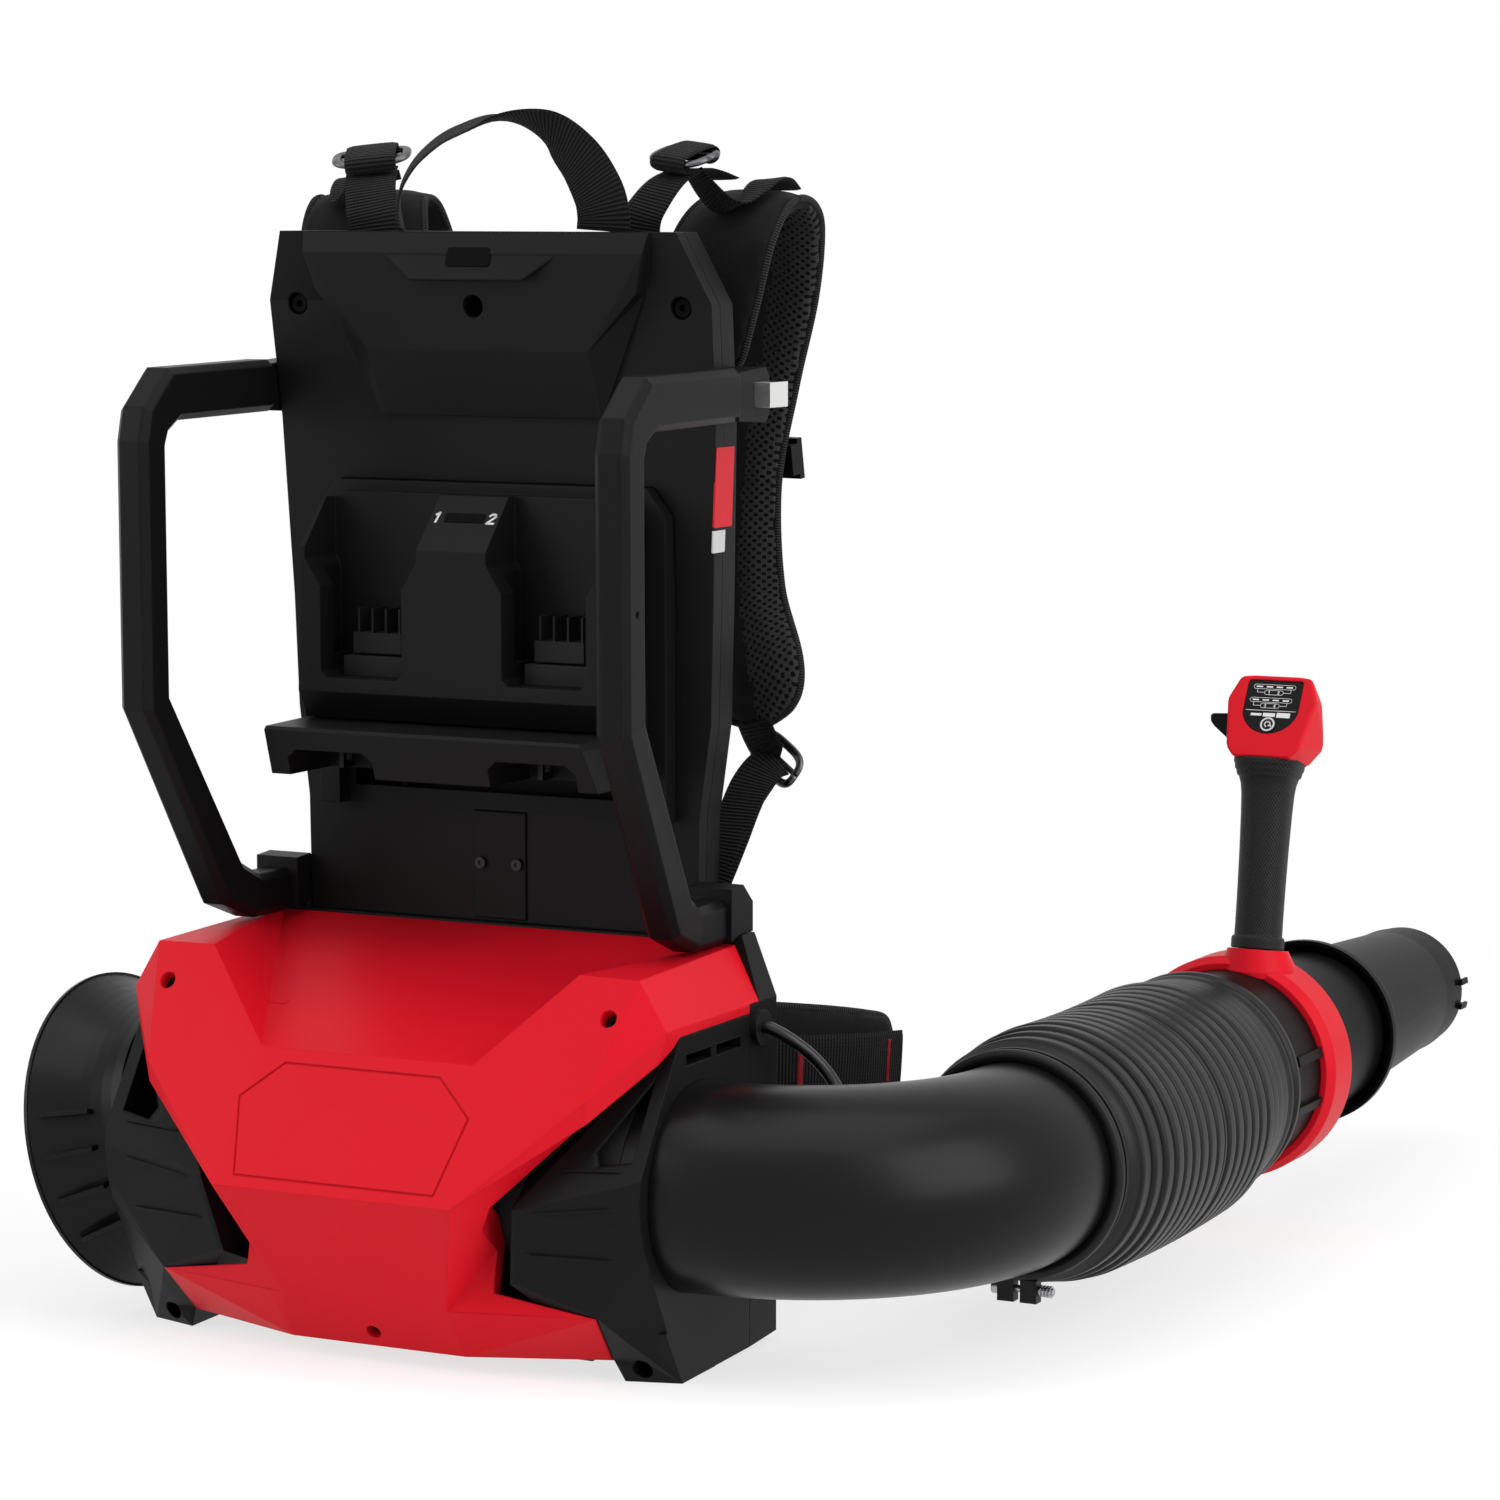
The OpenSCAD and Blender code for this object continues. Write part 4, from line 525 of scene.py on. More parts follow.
# Piping and thread: the same pairs of painted shade (dark) and painted light (lit).
piping_black = woven("pad_piping", grey(0.00225), grey(0.0405), rib=0.0016)
thread_red = woven("red_thread", (0.16, 0.004, 0.01, 1), (0.75, 0.03, 0.06, 1), rib=0.0009)
steel = plated("screw_steel", (0.42, 0.42, 0.44, 1), 0.32)
dark_steel = plated("dark_screw_steel", (0.03, 0.03, 0.033, 1), 0.42)
label_red = moulded("plain_label_red", (0.62, 0.008, 0.02, 1), 0.35, edge=0.0001, specular=0.2)
label_pale = moulded("plain_label_pale", (0.6, 0.6, 0.6, 1), 0.4, edge=0.0001, specular=0.2)
zinc = plated("bright_zinc", (0.80, 0.80, 0.79, 1), 0.28)
gunmetal = plated("gunmetal_buckle", (0.10, 0.10, 0.105, 1), 0.3)
iron = plated("motor_iron", (0.36, 0.32, 0.28, 1), 0.45)
board = moulded("coated_board", (0.02, 0.12, 0.05, 1), 0.3, edge=0.0002)
glass = flat_finish("display_gloss", 0.002, 0.22, 0.08)
print_white = flat_finish("white_print", 0.78, 0.55, 0.2)


def dress(obj, *mats):
    obj.data.materials.clear()
    for m in mats:
        obj.data.materials.append(m)
    return obj


def seated(obj, body, slot, *replaced):
    """Sets a piece on its body, in place of the nodes that it replaces."""
    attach(obj, body)
    if replaced:
        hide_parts(*replaced)
    return obj


def fitted(obj, finish, *seat):
    return seated(dress(obj, finish), *seat)


cad_finish = {
    red_cover: ["front_cover", "clamp_ring", "control_head"],
    black_cover: ["rear_housing", "left_end_cap", "right_end_cap", "back_frame", "front_panel", "battery_dock",
                  "support_shelf", "lower_cover", "handle_clamps"],
    handle_black: ["side_handle_left", "side_handle_right"],
    tube_black: ["elbow", "intake_bell"],
    nozzle_black: ["front_tube", "nozzle"],
    inner_grey: ["fan_duct", "motor_pod", "fan_rotor", "terminal_blocks", "intake_guard"],
    hose_black: ["hose_mid_ring", "cable_grommets", "hose_clamp"],
    control_black: ["mode_button", "throttle_trigger", "cruise_lever"],
    grip_black: ["grip"],
    glass: ["display_window"],
    steel: ["clamp_screw", "trigger_spring", "pivot_pins", "fan_shaft", "bearings"],
    dark_steel: ["housing_screws", "cover_screws", "latch_keepers"],
    recess_black: ["panel_screws"],
    zinc: ["handle_hook"],
    gunmetal: ["upper_buckles"],
    iron: ["motor"],
    board: ["controller_board"],
    buckle_black: ["lower_buckles", "pad_slider", "hip_buckle"],
}
for finish, names in cad_finish.items():
    for n in names:
        dress(nodes[n], finish)


# ---- hose ----

def hose_half(name, rear, spigot):
    """Half of the bending hose. Its radius follows the cuff's own steps over its spigot, then one rounded crest for
    each rib: valley + (crest - valley) * (1 - |2f - 1|^7)^0.7 over the rib's pitch. The line sags as a half sine."""
    pitch = (HOSE_MID - HOSE_Y0 - CUFF_LEN - RING_HALF) / RIBS
    start = HOSE_Y0 + CUFF_LEN if rear else HOSE_MID + RING_HALF
    end = start + RIBS * pitch
    count = np.arange(RIBS)[:, None]
    number = count + (0 if rear else RIBS)
    crest = RIB_R - np.maximum(0, 5 - 2 * number) - np.maximum(0, 6 - 2 * (2 * RIBS - 1 - number))
    f = (1 - np.cos(np.linspace(0, np.pi, 17)[:-1])) / 2
    radius = VALLEY_R + (crest - VALLEY_R) * (1 - np.abs(2 * f - 1) ** 7.0) ** 0.7
    ribs = np.stack([start + (count + f) * pitch, radius], -1).reshape(-1, 2)
    lip = spigot + 7
    steps = np.array([
        [0.0, spigot + 0.2], [0.0, lip - 2.2], [0.6, lip - 0.8], [1.8, lip], [5.2, lip], [6.2, lip - 0.6],
        [6.9, lip - 1.9], [7.5, lip - 2.0], [12.0, lip - 2.0], [12.6, lip - 1.9], [13.2, lip - 0.6], [14.2, lip],
        [15.4, lip + 0.6], [18.0, HOSE_IN + 3.2], [20.0, HOSE_IN + 2.4], [21.6, HOSE_IN + 2.2]
    ])
    if rear:
        outside = [steps + (HOSE_Y0, 0), ribs, [[end, HOSE_IN + 2.2]]]
        inside = [[end, HOSE_IN], [HOSE_Y0 + CUFF_LEN + 1, HOSE_IN], [HOSE_Y0 + CUFF_LEN - 4, spigot + 0.2]]
    else:
        outside = [[[start, HOSE_IN]], ribs, np.column_stack([HOSE_Y1 - steps[::-1, 0], steps[::-1, 1]])]
        inside = [[HOSE_Y1 - CUFF_LEN + 4, spigot + 0.2], [HOSE_Y1 - CUFF_LEN - 1, HOSE_IN]]
    y, r = np.vstack(outside + [inside]).T[:, :, None]
    turn = np.linspace(0, 2 * np.pi, 128, endpoint=False)
    sag = HOSE_SAG * np.sin(np.pi * np.clip((y - HOSE_Y0) / (HOSE_Y1 - HOSE_Y0), 0, 1))
    rings = np.stack(np.broadcast_arrays(TUBE_X + r * np.cos(turn), y, FAN_Z - sag + r * np.sin(turn)), -1) * MM
    obj = dress(lofted(name, np.concatenate([rings, rings[:1]]), capped=False), hose_black)
    bm = bmesh.new()
    bm.from_mesh(obj.data)
    bmesh.ops.remove_doubles(bm, verts=bm.verts, dist=1e-6)
    bm.to_mesh(obj.data)
    bm.free()
    return obj


rear_half = hose_half("hose_rear_ribs", True, 58.6)
front_half = hose_half("hose_front_ribs", False, 62.1)
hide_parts("hose_rear")
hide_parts("hose_front")
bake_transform(rear_half)
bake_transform(front_half)


# ---- control cable ----

BEND_R, BEND_Y, BEND_X = 125.0, 59.0, 180.0


def gland_at(s):
    """A point on the elbow's gland, s from the elbow's centre line."""
    reach = (BEND_R - s * math.sin(math.radians(60))) * math.sqrt(0.5)
    return [BEND_X + reach, BEND_Y - reach, FAN_Z + s * 0.5]


cable = cord_form("control_cable_jacket", [
    [160, 8, 184], [177, 8, 184], [181, 8.4, 183.4], [190, 12, 178], [200, 18, 169], [209, 21, 159],
    [217, 19, 150], gland_at(58.5 + 11), gland_at(58.5 + 5), gland_at(58.5 - 11)
], 3.55)
fitted(cable, cable_black, "machine", "hose_rubber", "control_cable")


# ---- control head ----

ON_GRIP = Matrix.Translation(GRIP_FOOT) @ Matrix.Rotation(math.radians(-GRIP_LEAN), 4, "X")
HEAD = ON_GRIP @ Matrix.Translation((0.5, 0, 119))
HEAD_W, HEAD_D, HEAD_H, LEAN = 59.0, 44.0, 52.5, math.radians(21.8)


def face_y(z):
    """How far forward the head's leaning face is at a height above the neck."""
    return 1.5 - HEAD_D / 2 + z * math.tan(LEAN)


ON_FACE = HEAD @ Matrix.Translation((0.5, face_y(30), 30)) @ Matrix.Rotation(-LEAN, 4, "X")


def face_of(place, depth=0.0):
    """A face for bars and plaques: the plane across a placing matrix's Y axis, depth in front of it."""
    turn = place.to_3x3()
    normal = turn @ Vector((0, -1, 0))
    return (place.translation + depth * normal, turn @ Vector((1, 0, 0)), turn @ Vector((0, 0, 1)), normal)


def display_edge(gap=0.0):
    """The display's outline: straight sides, round upper corners and a round foot."""
    r, x, z = 2.4, 15.1 + gap, 17.8 + gap
    foot = arc(18 + gap, -14, -166, 25) + (0, 3.1)
    return np.concatenate([foot, arc(r, 180, 90, 7) + (-x, z), arc(r, 90, 0, 7) + (x, z)])


def head_corners():
    """The head's corner points: widest in its upper half, bevelled above, reaching down behind the neck."""
    w, back, wide = HEAD_W / 2, HEAD_D / 2, HEAD_H - 15.5
    return [(side * x, y, z) for side in (-1, 1) for x, y, z in (
        (w - 11, face_y(0.5), 0.5), (w - 5.5, face_y(6.5), 6.5), (w, face_y(wide), wide),
        (w - 6, face_y(HEAD_H - 1), HEAD_H - 1), (w - 15, face_y(HEAD_H), HEAD_H),
        (w - 9, face_y(HEAD_H) + 9, HEAD_H - 2.5), (w - 1, face_y(wide) + 14, wide - 1), (w - 2.5, back, 9),
        (w - 9.5, back - 10, -4), (w - 12, back + 1, 7)
    )]


head = hull_form("control_head_shell", head_corners(), HEAD, 1.7)
pocket = prism("display_pocket", display_edge(0.9), -6, 1.5, ON_FACE)
slot_box = prism("lever_slot", [[-34, 11], [-13, 11], [-13, 36], [-34, 36]], -5.6, 5.6, HEAD)
fitted(carved(head, [pocket, slot_box]), red_cover, "tube", "red_plastic", "control_head")
window = plaque("display_pane", face_of(ON_FACE, -1.5), display_edge(0.7), 0.9, round_edge=0.3)
fitted(window, glass, "tube", "display_gloss", "display_window")

LINE, FIGURE, BAR = 0.26, 0.4, 0.95      # widths of the display's outlines, figures and charge bars
FIGURES = {
    1: [[(-0.45, 0.55), (0.05, 1), (0.05, -1)]],
    2: [[(-0.55, 0.6), (-0.2, 1), (0.35, 0.95), (0.55, 0.5), (0.3, 0), (-0.6, -1), (0.6, -1)]],
    3: [[(-0.5, 0.85), (0, 1), (0.5, 0.75), (0.45, 0.2), (0, 0.05), (0.5, -0.2), (0.5, -0.75), (0, -1), (-0.5, -0.85)]],
    4: [[(0.3, -1), (0.3, 1), (-0.6, -0.4), (0.65, -0.4)]]
}


def display_print():
    """Charge bars of both batteries, each row bracketed to its pair of numbers, and three growing power bars."""
    a, b, wide = [], [], []

    def line(points, width, closed=False):
        p, q = outline_bars(points, closed, width / 2 if not closed else width / 3)
        a.append(p), b.append(q), wide.append(np.full(len(p), width))

    for row, (top, first) in enumerate(((16.6, 1), (7.5, 3))):
        shift = -0.4 - 0.9 * row
        low = top - 3.9
        for k in range(4):
            line([[shift - 11.6 + 6.6 * k, top], [shift - 8.4 + 6.6 * k, top]], BAR)
        line(oval(shift, top, 27.6, 3.0, count=5), LINE, True)
        for way in (-1, 1):
            line([[shift + way * 11.0, top - 1.5], [shift + way * 11.0, low], [shift + way * 6.2, low]], LINE)
        line(oval(shift, low, 12.4, 3.0, count=5), LINE, True)
        for k, number in enumerate((first, first + 1)):
            for part in FIGURES[number]:
                line(np.array(part) * (0.8, 0.95) + (shift - 3.1 + 6.2 * k, low), FIGURE)
    line([[-16.5, 0.3], [16.3, 0.3]], 0.3)
    for x0, x1, tall in ((-12.6, -5.6, 1.7), (-4.6, 3.4, 2.5), (4.4, 13.2, 3.3)):
        line([[x0 + tall / 2, -2.6], [x1 - tall / 2, -2.6]], tall)
    ends = (np.concatenate(rows) for rows in (a, b, wide))
    return bars("display_print", face_of(ON_FACE, -0.62), *ends)


fitted(display_print(), print_white, "tube", "display_gloss")

BUTTON_Z, BUTTON_R = -9.4, 5.1
BUTTON_FACE = face_of(ON_FACE @ Matrix.Translation((0, 0, BUTTON_Z)), 0.35)


def round_cap(name, face, radius, thick, sink, around=48):
    """A round button: its wall, a rolled edge and a slightly dished top."""
    steps = ((radius, -sink), (radius, thick - 0.5), (radius - 0.15, thick - 0.15), (radius - 0.5, thick),
             (radius * 0.5, thick - 0.12))
    rings = [on_plane(face, arc(r, 0, 360, around + 1)[:-1], height) for r, height in steps]
    return lofted(name, np.array(rings) * MM)


button = round_cap("mode_button_cap", BUTTON_FACE, BUTTON_R, 0.0, 3.0)
fitted(button, control_black, "button", "control_plastic", "mode_button")

ring_a, ring_b = outline_bars(arc(4.15, 0, 360, 41), False, 0.1)
arc_a, arc_b = outline_bars(arc(1.75, -20, 250, 22), False, 0.1)
arrow_a, arrow_b = [[1.65, -0.6], [1.65, -0.6]], [[0.5, -1.0], [2.7, -1.6]]
widths = np.repeat([1.1, 0.75, 0.8], [len(ring_a), len(arc_a), len(arrow_a)])
ends = (np.concatenate(rows) for rows in ((ring_a, arc_a, arrow_a), (ring_b, arc_b, arrow_b)))
icon = bars("button_icon", BUTTON_FACE, *ends, widths)
fitted(icon, print_white, "button", "control_plastic")

lever = prism("cruise_lever_arm", [
    [4, 4], [-4, 4.4], [-9.5, 1.2], [-13, -2.6], [-24, -3.0], [-25.6, -4.4], [-25.2, -8], [-22.8, -11], [-13.6, -18.2],
    [-10, -18.6], [-4, -10], [3, -4.5]
], -3.5, 4.5, ON_GRIP @ Matrix.Translation((-15, 0, 149)))
round_lever = lever.modifiers.new("edges", "BEVEL")
round_lever.width, round_lever.segments, round_lever.limit_method = 0.9 * MM, 3, "ANGLE"
fitted(lever, control_black, "lever", "control_plastic", "cruise_lever")

GRIP_SIZES = np.array([
    # height, half width, half depth, squareness
    [0.3, 16.0, 16.0, 1.0], [0.9, 16.6, 16.6, 1.0], [6.4, 16.6, 16.6, 1.0], [7.6, 16.2, 16.2, 1.0],
    [8.4, 14.9, 15.4, 1.0], [20, 14.6, 15.6, 0.95], [40, 14.6, 15.9, 0.92], [62, 14.9, 16.0, 0.9],
    [84, 15.5, 16.2, 0.88], [97, 16.0, 16.6, 0.85], [103, 16.6, 17.2, 0.8], [107.5, 17.8, 18.2, 0.76],
    [108.2, 18.9, 19.0, 0.74], [111.5, 19.6, 19.5, 0.72], [112.2, 20.2, 19.9, 0.7], [115.5, 20.6, 20.2, 0.68],
    [116.2, 21.0, 20.6, 0.66], [119.6, 21.0, 20.6, 0.66]
])


def grip_sleeve():
    """The hand grip: rounded sections along its axis, |cos|^k across and |sin|^k deep, stepped below the head."""
    high, *sizes = GRIP_SIZES.T
    z = np.unique(np.concatenate([np.linspace(high[0], high[-1], 90), high]))
    w, d, k = (np.interp(z, high, size)[:, None] for size in sizes)
    c, s = arc(1.0, 0, 360, 97)[:-1].T
    x, y = w * np.sign(c) * np.abs(c) ** k, d * np.sign(s) * np.abs(s) ** k
    return lofted("grip_sleeve", placed(np.stack([x, y, np.broadcast_to(z[:, None], x.shape)], -1), ON_GRIP))


trigger_gap = prism("trigger_gap", [[-5.6, 48], [5.6, 48], [5.6, 96], [-5.6, 96]], 7.8, 30, ON_GRIP)
fitted(carved(grip_sleeve(), [trigger_gap]), grip_black, "tube", "grip_rubber", "grip")


# ---- plain plates and relief on the covers ----

def side_face(y, z):
    """A face on the frame's right edge, whose plane leans in a little towards its foot."""
    out = Vector((0.9993, 0, -0.038))
    return (Vector((141.7 + 0.038 * (z - 511.5) + 0.05, y, z)), Vector((0, 1, 0)), Vector((0.038, 0, 0.9993)), out)


def scoop_corner(x):
    """A face on the front cover's sloping scoop, near the foot of its side wall."""
    return ((x, -84.5, 192.8), (1, 0, 0), (0, 0.941, 0.339), (0, -0.339, 0.941))


TOP_EDGE = ((-0.4, -11.3, 612.4), (1, 0, 0), (0, 0.329, 0.944), (0, -0.944, 0.329))
DOCK_SLOPE = ((0.2, -18.9, 465.9), (1, 0, 0), (0, 0.669, 0.743), (0, -0.743, 0.669))

for name, face, outline, thick, round_edge, finish, slot in (
    ("edge_plate_red", side_face(27.5, 485), oval(0, 0, 22.0, 45, corner=0.8), 0.45, 0.15, label_red, "red_plastic"),
    ("edge_plate_pale", side_face(23.4, 454.6), oval(0, 0, 14.5, 12.5, corner=0.6), 0.45, 0.15, label_pale,
     "black_plastic"),
    ("top_plate", TOP_EDGE, oval(0, 0, 29, 11.5, corner=2.2), 1.6, 0.6, recess_black, "black_plastic"),
    ("top_field", TOP_EDGE, [(67, 9.4), (-66, 9.4), (-36, -13.6), (36.4, -13.6)], 0.8, 0.6, handle_black,
     "black_plastic"),
    ("dock_plate", DOCK_SLOPE, oval(0, 0, 26, 6.5, corner=0.8), 0.4, 0.2, recess_black, "black_plastic"),
    ("scoop_seam_left", scoop_corner(-86.2), oval(0, 0, 13, 5.5, corner=0.8), 0.25, 0.2, red_cover, "red_plastic")
):
    fitted(plaque(name, face, outline, thick, round_edge), finish, "machine", slot)

one = np.array([[-1.3, 1.9], [0.5, 3.4], [-0.3, -3.4]]) + (-17.8, 0)
two = np.array([[-1.9, 2.0], [-0.6, 3.3], [1.4, 3.1], [2.0, 1.6], [-2.4, -3.3], [1.9, -3.3]]) + (17.6, 0)
ends = (np.concatenate(rows) for rows in zip(outline_bars(one, False, 0.5), outline_bars(two, False, 0.5)))
fitted(bars("bay_numbers", DOCK_SLOPE, *ends, 1.3, 0.15, 0.3), print_white, "machine", "black_plastic")


def ridge(a, b, normal, wide=2.6, high=1.5, rows=15):
    """A moulded rib from a to b on a cover: flat-topped, its height times sqrt(f / 0.12) at both ends, 1 between."""
    a, b, normal = np.asarray(a, float), np.asarray(b, float), unit(np.asarray(normal, float))
    f = np.linspace(0, 1, rows)[:, None]
    path = (a * (1 - f) + b * f) * MM
    rise = np.sqrt(np.clip(np.minimum(f, 1 - f) / 0.12, 0, 1))
    across = np.broadcast_to(np.array([-0.5, -0.26, 0.26, 0.5]) * wide, (rows, 4))
    out = np.column_stack([np.full(rows, -0.8), high * rise, high * rise, np.full(rows, -0.8)])
    return lofted("cap_rib", swept(path, np.cross(normal, b - a), np.stack([across, out], -1) * MM))


ribs = joined("end_cap_ribs", [ridge(a, b, n) for a, b, n in (
    ((108, -143.5, 100.0), (158, -136.0, 105.8), (0.175, -0.979, -0.107)),
    ((104, -138.4, 76.2), (155, -130.2, 76.0), (0.152, -0.956, -0.253)),
    ((112, -130.8, 61.5), (152, -122.0, 50.5), (0.155, -0.956, -0.251)),
    ((122, -131.6, 123.0), (160, -130.2, 125.5), (0.0, -0.835, 0.55))
)])
fitted(shade(both_sides(ribs), False), black_cover, "machine", "black_plastic")


# ---- straps ----

def strap(obj, *replaced):
    return fitted(obj, web_black, "machine", "webbing", *replaced)


strap(webbing("carry_strap_webbing", [
    [-56, 8, FRAME_TOP + 0.4], [-58, 8, 641], [-55, 8, 654], [-44, 9, 669], [-24, 10, 682], [6, 10.5, 690],
    [36, 11, 684.5], [57, 11, 669], [70, 10.5, 650], [74, 10, 637], [74, 10, FRAME_TOP + 0.4]
], [[0.45, -0.95, 0], [1.05, 0, 0]], WEB_W), "carry_strap")

upper_points = [[86, 28.4, 604], [87, 27, FRAME_TOP + 2], [91, 32, 642], [98, 44, 656], [106, 60, 662], [115, 78, 657]]
strap(both_sides(webbing("upper_strap_webbing", upper_points, [[1, 0, 0], [1, -0.45, 0]], STRAP_W)), "upper_straps")

UPPER_BUCKLE = Matrix.Translation((102.5, 53, 668)) @ Matrix.Rotation(math.radians(-24), 4, "Z") \
    @ Matrix.Rotation(math.radians(6), 4, "Y") @ Matrix.Rotation(math.radians(20), 4, "X")


def fold_over():
    """The webbing that wraps the upper buckle's bars, with its free end lying back over the top."""
    line = [(8.4, -4.2), (12.4, -3.4), (14.8, 0.2), (13.2, 3.8), (9.0, 4.6), (1.5, 5.0), (-6, 4.6), (-10.4, 3.8),
            (-12.8, 1.0), (-12.2, -2.4), (-9.0, -4.2), (-3, -4.6)]
    points = [tuple(UPPER_BUCKLE @ Vector((0, y, z))) for y, z in line]
    return webbing("buckle_fold", points, tuple(UPPER_BUCKLE.to_3x3() @ Vector((1, 0, 0))), STRAP_W, step=1.6)


strap(both_sides(fold_over(), "upper_buckle_folds"))
strap(both_sides(webbing("strap_tail", [
    (106, 58, 661), (112, 62, 651), (119, 66, 643), (127, 71, 642), (133, 78, 648), (136, 88, 655), (136, 100, 656),
    (135, 112, 651)
], [[0.55, -0.62, 0.35], [1, 0.1, 0]], TAIL_W, step=2.0), "upper_strap_tails"))

lower_points = [[116, 50, 247], [121, 55, 262], [125, 64, 280], [127, 74, 296], [129.5, 84, 310], [134, 93, 319.5],
                [139, 99, 323]]
drop_points = [[118, 53.5, 252], [123, 60, 270], [126, 68, 285], [130, 80, 301], [134, 90, 313]]
link_points = [[125, 97, 345], [128, 99, 336], [133, 101, 327], [139, 102, 323]]
lower_parts = [
    webbing("lower_strap_webbing", lower_points, [[0.98, -0.2, 0], [0.75, -0.5, -0.45]], STRAP_W),
    webbing("lower_strap_return", drop_points, [[0.9, -0.4, 0], [0.8, -0.5, -0.3]], TAIL_W),
    webbing("lower_strap_link", link_points, [0.85, -0.4, 0.3], STRAP_W)
]
lower_parts += [mirrored(part, "lower_left_%d" % i) for i, part in enumerate(lower_parts)]
strap(joined("lower_strap_webbing", lower_parts), "lower_straps")


def strap_buckle(name, middle, across, along, wide, tall, bar, bow=2.2):
    """A strap buckle: an oval frame, |cos|^0.55 across and |sin|^0.6 along, bowed at both ends, and its middle bar.
    Middle, wide, tall and the half sizes of the bar are in millimetres."""
    middle, across, along = np.asarray(middle, float), unit(np.asarray(across, float)), np.asarray(along, float)
    along = unit(along - across * (along @ across))
    out = np.cross(across, along)
    c, s = arc(1.0, 0, 360, 73)[:-1].T
    u, v = np.sign(c) * np.abs(c) ** 0.55 * wide, np.sign(s) * np.abs(s) ** 0.6 * tall
    loop = middle + u[:, None] * across + v[:, None] * along + (bow * (u / wide) ** 2)[:, None] * out
    ring = np.concatenate([loop, loop[:1]])
    cross_bar = middle + np.linspace(1.5 - wide, wide - 1.5, 25)[:, None] * across
    parts = []
    for k, (line, half_w, half_t) in enumerate(((ring, *bar), (cross_bar, 0.7 * bar[0], 0.85 * bar[1]))):
        ahead = unit(np.gradient(line, axis=0))
        if k == 0:
            ahead[0] = ahead[-1] = unit(line[1] - line[-2])
        side = unit(np.cross(ahead, out))
        c, s = arc(1.0, 0, 360, 17)[:-1].T[:, :, None]
        parts.append(lofted("buckle_%d" % k, (line[:, None] + side[:, None] * half_w * c + out * half_t * s) * MM))
    return joined(name, parts)


lower = strap_buckle("lower_buckle", (139.0, 101.0, 323.5), (0.80, -0.45, -0.40), (0.50, 0.20, 0.84), 20.5, 9.5,
                     (2.6, 1.7))
fitted(both_sides(lower, "lower_buckle_frames"), gunmetal, "machine", "black_plastic", "lower_buckles")
turned = UPPER_BUCKLE.to_3x3()
upper = strap_buckle("upper_buckle", UPPER_BUCKLE @ Vector((0, 0.9, 0.4)), turned @ Vector((1, 0, 0)),
                     turned @ Vector((0, 1, 0)), 20.5, 10.6, (2.9, 1.9), 1.2)
fitted(both_sides(upper, "upper_buckle_frames"), gunmetal, "machine", "hook_zinc", "upper_buckles")


# ---- pads ----

CORNER_R = 14.0


def sewn_half(run, half, corner=CORNER_R):
    """Half width of a pad along its route, rounded off at both ends: half - R + sqrt(R^2 - (R - d)^2) near an end."""
    near_end = np.minimum(run, run[-1] - run) / MM
    inset = corner - np.sqrt(np.clip(corner ** 2 - (corner - np.minimum(near_end, corner)) ** 2, 0, None))
    return half - inset


def padded_form(name, points, half_widths, thick, across, power=0.6, step=5.0, around=40, ends=0.62):
    """Closed pad along a route: a rounded section of the given half width and thickness, thinner at both ends.
    Section: |cos|^power across and |sin|^power out, the thickness drawn in towards its edges."""
    path, run, half = route(points, step, half_widths)
    turn = np.linspace(0, 2 * np.pi, around, endpoint=False) + np.pi / around
    c, s = np.cos(turn), np.sin(turn)
    u, v = np.sign(c) * np.abs(c) ** power, np.sign(s) * np.abs(s) ** power
    near_end = np.minimum(run, run[-1] - run) / (CORNER_R * MM)
    taper = np.where(near_end < 1, ends + (1 - ends) * np.sqrt(np.clip(near_end, 0, 1)), 1)
    outline = np.stack([
        sewn_half(run, half)[:, None] * u, thick / 2 * taper[:, None] * v * (1 - 0.16 * u ** 2)
    ], -1) * MM
    weave = np.stack([np.broadcast_to(run[:, None], outline.shape[:2]), outline[..., 0]], -1)
    return lofted(name, swept(path, across, outline), weave), path, run, half


def coords(mesh):
    co = np.zeros(len(mesh.vertices) * 3, np.float32)
    mesh.vertices.foreach_get("co", co)
    return co.reshape(-1, 3)


def moved(obj, points):
    obj.data.vertices.foreach_set("co", points.astype(np.float32).ravel())
    obj.data.update()
    return obj


def plumped(obj, cap, pressure=4.0, voxel=0.0045, frames=20):
    """Blown up like sewn foam: remeshed, pressed from inside as cloth for 20 frames, no point moving more than cap."""
    work = linked(obj.name + "_sewn", obj.data.copy())
    remesh = work.modifiers.new("skin", "REMESH")
    remesh.mode, remesh.voxel_size = "VOXEL", voxel
    skin = applied(work)
    work.modifiers.clear()
    work.data = skin
    rest = coords(skin)
    cloth = work.modifiers.new("cover", "CLOTH")
    cloth.settings.use_pressure = True
    cloth.settings.uniform_pressure_force = pressure
    cloth.settings.effector_weights.gravity = 0
    scene = bpy.context.scene
    scene.frame_start, scene.frame_end = 1, frames
    cloth.point_cache.frame_start, cloth.point_cache.frame_end = 1, frames
    for f in range(1, frames + 1):
        scene.frame_set(f)
    blown = applied(work)
    move = coords(blown) - rest
    move *= np.minimum(1, cap / np.maximum(np.linalg.norm(move, axis=1, keepdims=True), 1e-9))
    work.modifiers.clear()
    scene.frame_set(1)
    obj.data = skin
    bpy.data.objects.remove(work)
    bpy.data.meshes.remove(blown)
    return shade(moved(obj, rest + move), True)


